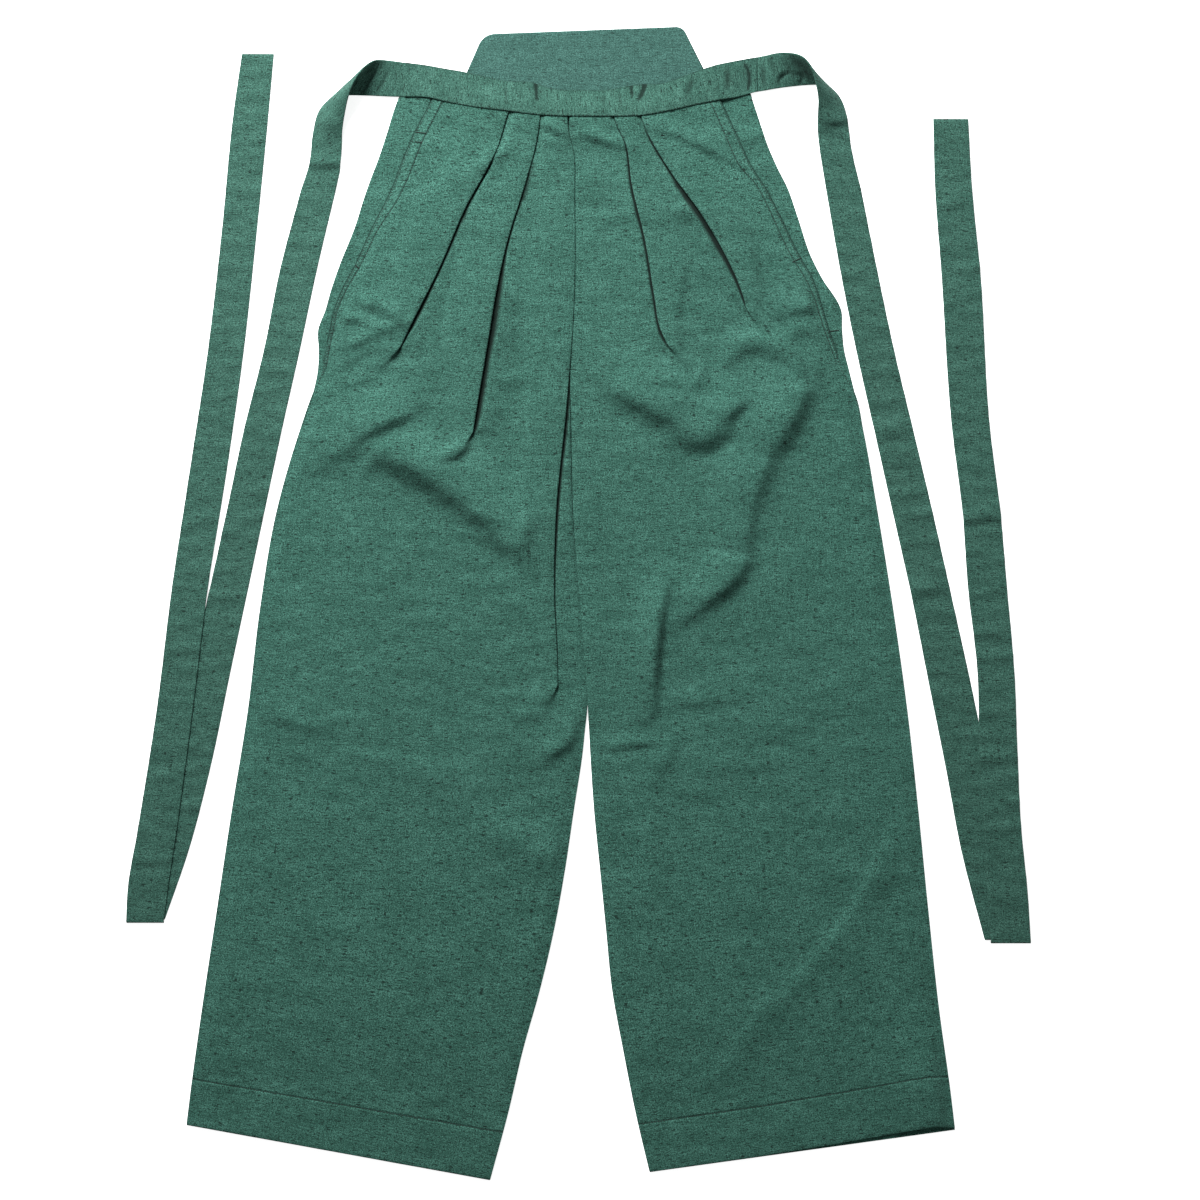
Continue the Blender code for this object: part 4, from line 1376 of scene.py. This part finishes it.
@dataclass
class BackPanel:
    """A plain back panel that lies flat on the surface."""

    side: Side
    cut: tuple[float, float]
    cut_area: float
    wall: float = 1.2
    band_fade: tuple[float, float] = (62.0, 16.0)
    band_gap: float = 2.2
    band_lift: float = 1.0
    band_edge: tuple[float, float] = (-2.0, 3.0)
    edge_flat: float = 3.0
    # Painted shadow on the back panel beside the front panel's slit edge: its darkness, offset and width.
    painted_slit_shadow: float = 0.8
    slit_shadow: tuple[float, float] = (0.4, 0.9)
    strip_width: tuple[float, float] = (5.0, 4.0)
    strip_columns: int = 12
    close_columns: tuple[float, ...] = (-1.8, -1.2, -0.7, -0.3, 0.3, 1.0)
    columns: int = 60
    row_step: float = 3.0
    slit_foot: float = 354.0
    leg_rows: int = 70

    @property
    def name(self) -> str:
        """The name shared by the piece and its CAD node."""
        return "back_panel_" + self.side.value

    def section(self, row: float) -> np.ndarray:
        """Draws one section from the side edge to the centre.

        Args:
            row: The row.

        Returns:
            Points of across, down, height and share of painted shade.
        """
        flip = self.side.flip
        sides = SIDES[self.side]
        outer = flip * meet(row, self.side, lambda d: read(sides, "back", d), back_down)
        front = flip * meet(row, self.side, lambda d: read(sides, "front", d), back_down)
        inner = flip * meet(row, self.side, lambda d: read(SEAMS, self.side.value, d), back_down)
        inner -= SEAM_GAP / 2
        close = front + np.array(self.close_columns)
        strip = np.linspace(outer, close[0], self.strip_columns, endpoint=False)
        along = np.concatenate([strip, close, np.linspace(close[-1], inner, self.columns)[1:]])
        even = np.linspace(outer, inner, len(along))
        across = flip * (even + (along - even) * ease(front - outer, *self.strip_width))
        down = back_down(row, self.side, across)
        edge = np.minimum(np.abs(across - flip * outer), np.abs(across - flip * inner))
        edge = ease(edge, 0, self.edge_flat)
        height = self.wall / 2 + np.maximum(BACK_RELIEF[self.side].fine(across, down), 0) * edge
        past = flip * across - front
        under_band = np.clip(read_straight(BAND, "low_height", across) - self.band_gap, 0, self.band_lift)
        under_band = under_band * fade(past, *self.band_edge) * fade(row, *self.band_fade)
        # Painted shadow where the front panel's slit edge lies over this panel.
        shift, width = self.slit_shadow
        shadow = np.exp(-(((past + shift) / width) ** 2)) * (row < SLIT_END[self.side])
        return np.stack([across, down, height + under_band, self.painted_slit_shadow * shadow], axis=-1)

    def build(self, material: bpy.types.Material) -> bpy.types.Object:
        """Builds the panel and puts it in place of its solid.

        Args:
            material: The cloth's material.

        Returns:
            The piece.
        """
        upper = np.arange(BOARD_ROW, self.slit_foot, self.row_step)
        rows = np.concatenate([upper, np.linspace(self.slit_foot, HEM_ROW, self.leg_rows)])
        grid = np.array([self.section(row) for row in rows])
        points = place(grid[..., 0], grid[..., 1], grid[..., 2])
        along = np.broadcast_to(-rows[:, None] * MM, grid.shape[:2])
        cloth = np.stack([grid[..., 0] * MM, along], axis=-1) + np.array([0.731, 0.417])
        piece = woven_sheet(self.name, points, cloth, self.side is Side.RIGHT, grid[..., 3])
        walled(piece, self.wall, 0.3)
        finish_piece(piece, material, Slot.LEG, self.name)
        return piece


# Waistband and ties
@dataclass
class Waistband:
    """The front band: flat over the pleats and sloping to the waist board at its top edge."""

    cut: tuple[float, float]
    wall: float = 0.9
    flat_share: float = 0.15
    rim: float = 0.045
    end_run: float = 8.0
    seam_inset: float = 0.7
    foot_relief: float = 0.35
    deepest: float = -0.7
    # Painted shade in each tuck's trough, full at this trough depth, and on the top edge's rim next to the
    # waist board.
    painted_tuck_shade: float = 0.85
    tuck_depth: float = 0.8
    painted_rim_shade: float = 0.6
    columns: int = 250
    rows: int = 18

    def build(self, material: bpy.types.Material) -> bpy.types.Object:
        """Builds the band and puts it in place of its solid.

        Args:
            material: The cloth's material.

        Returns:
            The piece.
        """
        across = np.linspace(BAND["across"][0], BAND["across"][-1], self.columns)
        shares = np.append(np.linspace(0, 1 - self.rim, self.rows), 1)[:, None]
        top, bottom = read(BAND, "top", across), read(BAND, "bottom", across)
        low, high = read_straight(BAND, "low_height", across), read_straight(BAND, "up_height", across)
        slope = ease(shares, self.flat_share, 1 - self.flat_share)
        down = bottom + (top - bottom) * shares
        height = low + (high - low) * slope
        wide = np.broadcast_to(across, down.shape)
        ends = ease(wide, across[0], self.end_run) * fade(wide, across[-1] - self.end_run, self.end_run)
        foot = self.foot_relief
        folded = BAND_RELIEF.fine(wide, down) * (foot + (1 - foot) * smooth(shares / foot)) * ends
        height = height + np.maximum(folded, self.deepest)
        # Painted shade: dark in each tuck's trough and along the top edge's rim.
        troughs = Relief(creases=BAND_RELIEF.creases).fine(wide, down)
        tuck_shade_paint = self.painted_tuck_shade * smooth(-troughs / self.tuck_depth)
        depth = np.maximum(tuck_shade_paint, self.painted_rim_shade * (shares == 1))
        points = place(wide, down, height)[::-1]
        cloth = np.stack([path_lengths(points, axis=0), path_lengths(points, axis=1)], axis=-1)
        cloth = cloth + np.array([0.31, 1.9])
        piece = woven_sheet("front_waistband", points, cloth, False, depth[::-1])
        walled(piece, self.wall, 0.4)
        finish_piece(piece, material, Slot.TIE, "front_waistband")
        return piece

    def seam(self) -> "StitchLine":
        """Lays out the row of stitches just inside the band's lower edge.

        Returns:
            The row.
        """
        across = np.linspace(BAND["across"][1], BAND["across"][-2], 90)
        line = tuple(zip(across, read(BAND, "bottom", across) - self.seam_inset))
        return StitchLine(line, pitch=3.4, length=1.6, width=0.45, height=0.3)


def spans(rows: list[tuple[float, float, float]]) -> Sizes:
    """Makes a table of a tie's left and right edges down its length."""
    return table("down left right", rows)


DOWN_SPANS: dict[Side, Sizes] = {
    Side.LEFT: spans([
        (143.4, -244.2, -213.4), (213.8, -262.7, -230.1), (284.2, -276.8, -245.1),
        (354.6, -294.4, -260.9), (425, -309.3, -275.9), (495.4, -324.7, -290.8), (565.8, -340.6, -305.8),
        (653.8, -359.5, -324.3), (724.2, -375.8, -342.8), (787, -394.0, -364.5),
    ]),
    Side.RIGHT: spans([
        (143.4, 217.8, 248.6), (213.8, 230.1, 262.7), (284.2, 244.2, 277.6), (354.6, 260, 294.4),
        (425, 275.9, 311.1), (495.4, 291.7, 326.9), (583.4, 309.3, 346.3), (653.8, 323.4, 360.4),
        (724.2, 336.6, 374.4), (805, 357.7, 392.9),
    ]),
}
UP_SPANS: dict[Side, Sizes] = {
    Side.LEFT: spans([
        (23.8, -296.1, -268), (73, -303.2, -272.4), (178.6, -313.7, -282.9), (284.2, -326, -294.4),
        (389.8, -341.9, -309.3), (495.4, -357.7, -326), (601, -370.9, -339.2), (706.6, -387.6, -353.3),
        (759.4, -396.4, -361.2), (788, -397.8, -364.8),
    ]),
    Side.RIGHT: spans([
        (81, 312, 342.8), (143.4, 313.7, 346.3), (213.8, 319, 353.3), (354.6, 328.7, 362.1),
        (425, 337.5, 370.9), (495.4, 342.8, 377.1), (565.8, 350.7, 383.2), (636.2, 352.4, 385.9),
        (706.6, 356.8, 389.4), (759.4, 359.6, 394.7), (806, 362.6, 397.8),
    ]),
}
TURN_COLUMNS = "row rim_across rim_down rim_height foot_across foot_down foot_height"
TURNS: dict[Side, Sizes] = {
    Side.LEFT: table(TURN_COLUMNS, [
        (0, -152.1, 31.6, 0.9, -152.1, 61.6, 0.9), (1, -161.5, 30.8, 4, -164.1, 61.6, 1.8),
        (2, -171.2, 30.4, 8, -181.7, 60.7, 1.2), (3, -178.2, 31.7, 13, -199.3, 60.3, 0.9),
        (4, -185.2, 37, 17.5, -213.4, 60.7, 0.8), (5, -191.4, 44.9, 20.5, -222.2, 66.9, 0.8),
        (6, -196.7, 54.6, 21, -228.4, 74.8, 0.8), (7, -201.1, 65.1, 17.5, -231.9, 85.4, 0.8),
        (8, -204.6, 78.3, 11.5, -234.5, 99.4, 0.8), (9, -207.2, 92.4, 6, -235.4, 110, 0.75),
        (10, -208.1, 108.2, 2.5, -236.7, 119.7, 0.7), (11, -209.9, 127.6, 0.7, -239.4, 129.4, 0.7),
    ]),
    Side.RIGHT: table(TURN_COLUMNS, [
        (0, 155.6, 27, 0.9, 155.6, 57.4, 0.9), (0.4, 162.5, 26, 3, 163.4, 56.2, 1.2),
        (1, 172.9, 24.6, 8.5, 175.6, 54.1, 1.2), (2, 186.1, 25.5, 14.5, 193.2, 51.9, 0.9),
        (3, 195.8, 29.5, 18.5, 205.5, 51, 0.8), (4, 202, 37, 20.5, 216.9, 51.5, 0.8),
        (5, 205.5, 45.8, 20.5, 225.7, 57.2, 0.8), (6, 208.1, 55.4, 18.5, 231.9, 66, 0.8),
        (7, 209.9, 66, 13, 235.8, 78.3, 0.8), (8, 209.9, 78.3, 7, 238, 91.5, 0.75),
        (9, 210.3, 93.3, 3, 239.8, 105.6, 0.7), (10, 212.5, 111.8, 0.7, 242.4, 118.8, 0.7),
    ]),
}


@dataclass
class Tie:
    """What all the ties share: a flat folded strip with cross wrinkles."""

    side: Side
    cut: tuple[float, float]
    wall: float = 1.4
    floor_height: float = 0.7
    columns: int = 20
    row_step: float = 3.5
    wrinkles: Waves = Waves(height=0.4, shortest=11, longest=30, seed=31, slant=0.75)
    wrinkle_floor: float = 0.6
    creases: tuple[Fold, ...] = ()
    # Painted shade in the creases' troughs, full at this trough depth.
    painted_crease_shade: float = 0.5
    crease_depth: float = 1.5
    cloth_shift: tuple[float, float] = (0.37, 0.53)

    def straight(self, sizes: Sizes, start: float, end: float, height: Callable) -> np.ndarray:
        """Lays a straight stretch from a table of its edges.

        Args:
            sizes: The stretch's left and right edges.
            start: The first row.
            end: The last row.
            height: The strip's middle height, as a function of down.

        Returns:
            Rows by columns of across, down and height.
        """
        count = max(2, round(abs(end - start) / self.row_step) + 1)
        down = np.linspace(start, end, count)
        left, right = read(sizes, "left", down), read(sizes, "right", down)
        share = np.linspace(0, 1, self.columns)
        across = left[:, None] + (right - left)[:, None] * share
        downs = np.repeat(down[:, None], self.columns, 1)
        heights = np.broadcast_to(np.asarray(height(downs), float), downs.shape)
        return np.stack([across, downs, heights], axis=-1)

    def lay(self, name: str, grid: np.ndarray, material: bpy.types.Material, rests_on: str,
            wrinkled: np.ndarray | float = 1.0) -> bpy.types.Object:
        """Makes the tie's piece from its rows and puts it in place of its solid.

        Args:
            name: The name shared by the piece and its CAD node.
            grid: Rows by columns of across, down and height.
            material: The cloth's material.
            rests_on: What the tie lies on; not used.
            wrinkled: Share of the wrinkles' height at each point.

        Returns:
            The piece.
        """
        grid = grid.copy()
        ripple = self.wrinkles.lift(grid[..., 0], grid[..., 1])
        grid[..., 2] += np.maximum(ripple + self.wrinkles.height * self.wrinkle_floor, 0) * wrinkled
        creased = Relief(creases=self.creases).fine(grid[..., 0], grid[..., 1])
        grid[..., 2] = np.maximum(grid[..., 2] + creased, self.floor_height)
        points = place(grid[..., 0], grid[..., 1], grid[..., 2])
        across = path_lengths(points, axis=1)
        along = path_lengths(points, axis=0).mean(axis=1, keepdims=True)
        cloth = np.stack([across, np.broadcast_to(-along, across.shape)], axis=-1)
        cloth = cloth + np.array(self.cloth_shift) * len(name)
        turned = bool(grid[0, 0, 1] > grid[-1, 0, 1])
        # Painted shade in the creases' troughs.
        depth = self.painted_crease_shade * smooth(-creased / self.crease_depth)
        piece = woven_sheet(name, points, cloth, turned, depth)
        walled(piece, self.wall, 0.5)
        finish_piece(piece, material, Slot.TIE, name)
        return piece


@dataclass
class TieDown(Tie):
    """The tie from the band's end: its soft turn at the hip, then straight down."""

    turn_steps: int = 9
    calm_rows: tuple[float, float] = (30.0, 24.0)

    def build(self, material: bpy.types.Material) -> bpy.types.Object:
        """Builds the stretch and puts it in place of its solid.

        Args:
            material: The cloth's material.

        Returns:
            The piece.
        """
        turn, sizes = TURNS[self.side], DOWN_SPANS[self.side]
        last = turn["row"][-1]
        at = np.linspace(0, last, int(last) * self.turn_steps + 1)
        rim, foot = (
            np.stack([read(turn, f"{edge}_{way}", at) for way in ("across", "down", "height")], axis=-1)
            for edge in ("rim", "foot")
        )
        share = np.linspace(0, 1, self.columns)[None, :, None]
        corner = foot[:, None, :] + (rim - foot)[:, None, :] * share
        if self.side is Side.RIGHT:
            corner = corner[:, ::-1]
        end = sizes["down"][-1] - self.wall - SEAM_GAP
        straight = self.straight(sizes, sizes["down"][0], end, lambda d: self.floor_height)
        grid = np.concatenate([corner, straight])
        calm, fading = self.calm_rows
        wrinkled = ease(np.arange(len(grid)), len(corner) - calm, fading)[:, None]
        return self.lay(f"front_tie_{self.side.value}_down", grid, material, "floor", wrinkled)


@dataclass
class TieUp(Tie):
    """The tie's outer stretch: round the lower fold and back up to the squared free end."""

    lands_from: float = 420.0
    lands_within: float = 60.0
    bend_rows: int = 6
    bend_angles: tuple[float, float] = (20.0, 150.0)
    calm_rows: tuple[float, float] = (20.0, 10.0)

    def build(self, material: bpy.types.Material) -> bpy.types.Object:
        """Builds the stretch and puts it in place of its solid.

        Args:
            material: The cloth's material.

        Returns:
            The piece.
        """
        sizes = UP_SPANS[self.side]
        upper = self.floor_height + self.wall + SEAM_GAP

        def height(down: np.ndarray) -> np.ndarray:
            """Height of the strip's middle: on the surface above, on the other stretch below."""
            lifted = ease(down, self.lands_from, self.lands_within)
            return self.floor_height + (upper - self.floor_height) * lifted

        straight = self.straight(sizes, sizes["down"][0], sizes["down"][-1] - self.wall, height)
        radius = (upper - self.floor_height) / 2
        bend = []
        for angle in np.radians(np.linspace(*self.bend_angles, self.bend_rows)):
            ring = straight[-1].copy()
            ring[:, 1] += radius * math.sin(angle)
            ring[:, 2] -= radius * (1 - math.cos(angle))
            bend.append(ring)
        grid = np.concatenate([straight, np.array(bend)])
        calm, fading = self.calm_rows
        wrinkled = fade(np.arange(len(grid)), len(grid) - calm, fading)[:, None]
        return self.lay(f"front_tie_{self.side.value}_up", grid, material, "floor", wrinkled)


@dataclass
class BackTie(Tie):
    """A back tie, laid down the inside of the leg from the waist board's lower corner."""

    wall: float = 1.2
    height: float = 2.1
    top: tuple[float, float, float] = (58, 0, 0)
    foot: tuple[float, float, float] = (821, 0, 0)

    def build(self, material: bpy.types.Material) -> bpy.types.Object:
        """Builds the tie and puts it in place of its solid.

        Args:
            material: The cloth's material.

        Returns:
            The piece.
        """
        sizes = spans([self.top, self.foot])
        grid = self.straight(sizes, self.top[0], self.foot[0], lambda d: self.height)
        under = "back_panel_" + self.side.value
        return self.lay("back_tie_" + self.side.value, grid, material, under, 0.0)


@dataclass
class WaistBoard:
    """The stiff board at the top of the back, covered with cloth, with soft rims.

    Each corner is its place across and down, and the radius that rounds it.
    """

    thickness: float = 3.5
    rim: float = 1.3
    round_steps: int = 10
    corners: tuple[tuple[float, float, float], ...] = (
        (-104.3, 53.7, 0), (-8, 61, 0), (118.4, 53.7, 0), (91.5, 0, 10), (-83.6, 6.7, 17),
    )

    def outline(self) -> np.ndarray:
        """Draws the outline with its upper corners rounded.

        Returns:
            Points across and down.
        """
        spots = np.array(self.corners)[:, :2]
        line = []
        for i, (*_, radius) in enumerate(self.corners):
            here, before, after = spots[i], spots[i - 1], spots[(i + 1) % len(spots)]
            if radius == 0:
                line.append(here)
                continue
            back = (before - here) / np.linalg.norm(before - here)
            ahead = (after - here) / np.linalg.norm(after - here)
            reach = radius / math.tan(math.acos(np.clip(back @ ahead, -1, 1)) / 2)
            for t in np.linspace(0, 1, self.round_steps):
                bend = (1 - t) ** 2 * (here + back * reach) + 2 * t * (1 - t) * here
                line.append(bend + t * t * (here + ahead * reach))
        return np.array(line)

    def build(self, material: bpy.types.Material) -> bpy.types.Object:
        """Builds the board and puts it in place of its solid.

        Args:
            material: The cover's material.

        Returns:
            The piece.
        """
        line = self.outline()
        board = bmesh.new()
        rim = [board.verts.new(p) for p in place(line[:, 0], line[:, 1], np.zeros(len(line)))]
        bmesh.ops.contextual_create(board, geom=rim)
        top = bmesh.ops.extrude_face_region(board, geom=board.faces[:])["geom"]
        moved = [g for g in top if isinstance(g, bmesh.types.BMVert)]
        bmesh.ops.translate(board, verts=moved, vec=(0, 0, self.thickness * MM))
        bmesh.ops.recalc_face_normals(board, faces=board.faces)
        rims = [e for e in board.edges if abs(e.calc_face_angle(0)) > 1.2]
        rims = [e for e in rims if abs(e.verts[0].co.z - e.verts[1].co.z) < 1e-6]
        bmesh.ops.bevel(
            board,
            geom=rims,
            offset=self.rim * MM,
            offset_type="OFFSET",
            affect="EDGES",
            segments=4,
            profile=0.5,
            material=-1,
            clamp_overlap=True,
        )
        uv = board.loops.layers.uv.new(UV_NAME)
        for face in board.faces:
            face.smooth = abs(face.normal.z) < 0.999
            for loop in face.loops:
                loop[uv].uv = (loop.vert.co.x + 0.9, loop.vert.co.y + 0.2 + loop.vert.co.z)
        piece = to_object("waist_board.cover", board)
        finish_piece(piece, material, Slot.BOARD, "waist_board")
        return piece


# Sewing
@dataclass(frozen=True)
class StitchLine:
    """A row of machine stitches along a line of places across and down."""

    line: tuple[tuple[float, float], ...]
    pitch: float = 2.7
    length: float = 2.0
    width: float = 0.65
    height: float = 0.5


@dataclass
class Sewing:
    """All the stitches on one piece, joined into one mesh that rests on it."""

    name: str
    lines: tuple[StitchLine, ...]
    sunk: float = 0.05
    drop_from: float = 60.0

    def spots(self, stitching: StitchLine) -> list[tuple[np.ndarray, np.ndarray]]:
        """Spaces the stitches out along a line.

        Args:
            stitching: The line.

        Returns:
            The middle and the heading of each stitch.
        """
        line = np.array(stitching.line, float)
        steps = np.linalg.norm(np.diff(line, axis=0), axis=1)
        run = np.concatenate([[0], np.cumsum(steps)])
        at = np.arange(stitching.pitch / 2, run[-1], stitching.pitch)
        back, middles, ahead = (
            np.stack([np.interp(at + past, run, way) for way in line.T], axis=-1) for past in (-1, 0, 1)
        )
        return list(zip(middles, ahead - back))

    def sew(self, thread: bmesh.types.BMesh, stitching: StitchLine, surfaces: list[BVHTree]) -> None:
        """Lays one row of stitches on the uppermost surface, each a small flattened bead.

        Args:
            thread: The mesh that the stitches join.
            stitching: The row.
            surfaces: The surfaces that it may rest on.
        """
        sizes = (stitching.length / 2, stitching.width / 2, stitching.height / 2, 1.0)
        for (across, down), (run_across, run_down) in self.spots(stitching):
            above = Vector(place(np.array(across), np.array(down), np.array(self.drop_from)))
            casts = [surface.ray_cast(above, Vector((0, 0, -1)))[:2] for surface in surfaces]
            hits = [cast for cast in casts if cast[0] is not None]
            if not hits:
                continue
            hit, normal = max(hits, key=lambda cast: cast[0].z)
            heading = Vector((run_across, -run_down, 0)).normalized()
            along = (heading - normal * heading.dot(normal)).normalized()
            turn = Matrix((along, normal.cross(along), normal)).transposed().to_4x4()
            middle = Matrix.Translation(hit + normal * self.sunk * MM)
            shape = middle @ turn @ Matrix.Diagonal(sizes)
            bmesh.ops.create_uvsphere(thread, u_segments=6, v_segments=4, radius=MM, matrix=shape)

    def build(self, material: bpy.types.Material, grounds: tuple[bpy.types.Object, ...],
              slot: Slot) -> bpy.types.Object:
        """Sews all the rows to the top surface of one or more pieces.

        Args:
            material: The thread's material.
            grounds: The pieces they are sewn to.
            slot: The record's slot for their finish.

        Returns:
            The joined stitches.
        """
        graph = bpy.context.evaluated_depsgraph_get()
        surfaces = [BVHTree.FromObject(ground, graph) for ground in grounds]
        thread = bmesh.new()
        for stitching in self.lines:
            self.sew(thread, stitching, surfaces)
        for face in thread.faces:
            face.smooth = True
        piece = to_object(self.name, thread)
        finish_piece(piece, material, slot)
        return piece


# Studio
@dataclass
class Studio:
    """The pale surface, the soft light and the camera straight above."""

    frame_width: float = 1.056
    centre: tuple[float, float] = (0.0189, 0.0031)
    lens: float = 85.0
    sensor: float = 36.0
    floor_size: float = 30.0
    floor_glow: float = 0.8
    sky_glow: float = 0.24
    lamp_spot: tuple[float, float, float] = (-0.6, 1.8, 1.2)
    lamp_size: float = 0.8
    lamp_power: float = 126.0

    def build(self) -> None:
        """Builds the surface, the surround, the light and the camera."""
        self.floor()
        self.sky()
        self.light()
        self.camera()

    def floor(self) -> None:
        """Lays the pale surface."""
        sheet = bmesh.new()
        bmesh.ops.create_grid(sheet, x_segments=1, y_segments=1, size=self.floor_size)
        floor = to_object("floor", sheet)
        paper, wire, shader = new_material("white_paper")
        wire.feed(
            shader,
            {
                "Base Color": (0.94, 0.94, 0.94, 1.0),
                "Emission Color": (1.0, 1.0, 1.0, 1.0),
                "Emission Strength": self.floor_glow,
                "Roughness": 0.95,
                "Specular IOR Level": 0.1,
            },
        )
        floor.data.materials.append(paper)

    def sky(self) -> None:
        """Gives the studio a pale surround."""
        world = bpy.data.worlds.new("studio")
        world.use_nodes = True
        sky = world.node_tree.nodes["Background"]
        sky.inputs["Color"].default_value = (1.0, 1.0, 1.0, 1.0)
        sky.inputs["Strength"].default_value = self.sky_glow
        bpy.context.scene.world = world
        bpy.context.scene.view_settings.view_transform = "Standard"

    def light(self) -> None:
        """Hangs a square soft light that faces the garment."""
        lamp = bpy.data.lights.new("key", "AREA")
        lamp.size = self.lamp_size
        lamp.energy = self.lamp_power
        holder = bpy.data.objects.new("key", lamp)
        holder.location = self.lamp_spot
        holder.rotation_euler = (-Vector(self.lamp_spot)).to_track_quat("-Z", "Y").to_euler()
        bpy.context.scene.collection.objects.link(holder)

    def camera(self) -> None:
        """Sets the camera straight above, framed on the whole garment."""
        lens = bpy.data.cameras.new("camera")
        lens.lens = self.lens
        lens.sensor_width = self.sensor
        lens.clip_end = 50.0
        holder = bpy.data.objects.new("camera", lens)
        holder.location = (*self.centre, self.frame_width / 2 / (self.sensor / 2 / self.lens))
        bpy.context.scene.collection.objects.link(holder)
        bpy.context.scene.camera = holder


def main() -> None:
    """Builds every piece of the hakama in order."""
    logging.basicConfig(level=logging.INFO, format="%(name)s: %(message)s")
    weave = SlubWeave().group()
    leg = SlubCotton(
        "leg_cloth", thread=(0.0792, 0.2203, 0.1747), shade=(0.0168, 0.0635, 0.0472)
    ).material(weave)
    tie = SlubCotton(
        "tie_cloth", thread=(0.0716, 0.1823, 0.1432), shade=(0.0175, 0.0594, 0.0444)
    ).material(weave)
    board = SlubCotton(
        "board_cloth",
        thread=(0.0694, 0.1736, 0.1476),
        shade=(0.0205, 0.0617, 0.0512),
        slub=(0.004, 0.013, 0.01),
        slub_amount=0.6,
    ).material(weave)
    sewn = SewingThread("green_thread", (0.004, 0.014, 0.01)).material()
    Studio().build()
    backs = {
        Side.LEFT: BackPanel(Side.LEFT, cut=(0.36, 0.97), cut_area=0.29).build(leg),
        Side.RIGHT: BackPanel(Side.RIGHT, cut=(0.34, 0.97), cut_area=0.27).build(leg),
    }
    for panel in (
        FrontPanel(Side.LEFT, (OUTER_LEFT, INNER_LEFT, CENTRE), cut=(0.46, 0.97), cut_area=0.36),
        FrontPanel(Side.RIGHT, (OUTER_RIGHT, INNER_RIGHT), cut=(0.44, 0.97), cut_area=0.32),
    ):
        grounds = (panel.build(leg), backs[panel.side])
        lines = (panel.slit_seam(), panel.edge_seam(), panel.hem_seam(), *panel.bar_tacks())
        Sewing("stitching_" + panel.side.value, lines).build(sewn, grounds, Slot.LEG)
    WaistBoard().build(board)
    band = Waistband(cut=(0.313, 0.031))
    Sewing("stitching_band", (band.seam(),)).build(sewn, (band.build(tie),), Slot.TIE)
    for strip in (
        TieDown(Side.LEFT, cut=(0.033, 0.80), creases=TIE_CREASES["left_down"]),
        TieDown(Side.RIGHT, cut=(0.033, 0.82), creases=TIE_CREASES["right_down"]),
        TieUp(Side.LEFT, cut=(0.033, 0.775), creases=TIE_CREASES["left_up"], lands_from=420),
        TieUp(Side.RIGHT, cut=(0.033, 0.735), creases=TIE_CREASES["right_up"], lands_from=540),
        BackTie(Side.LEFT, cut=(0.029, 0.77), top=(58, -98, -69), foot=(821, -190, -161)),
        BackTie(Side.RIGHT, cut=(0.029, 0.77), top=(58, 66, 95), foot=(821, 152, 181)),
    ):
        strip.build(tie)


if __name__ == "__main__":
    main()
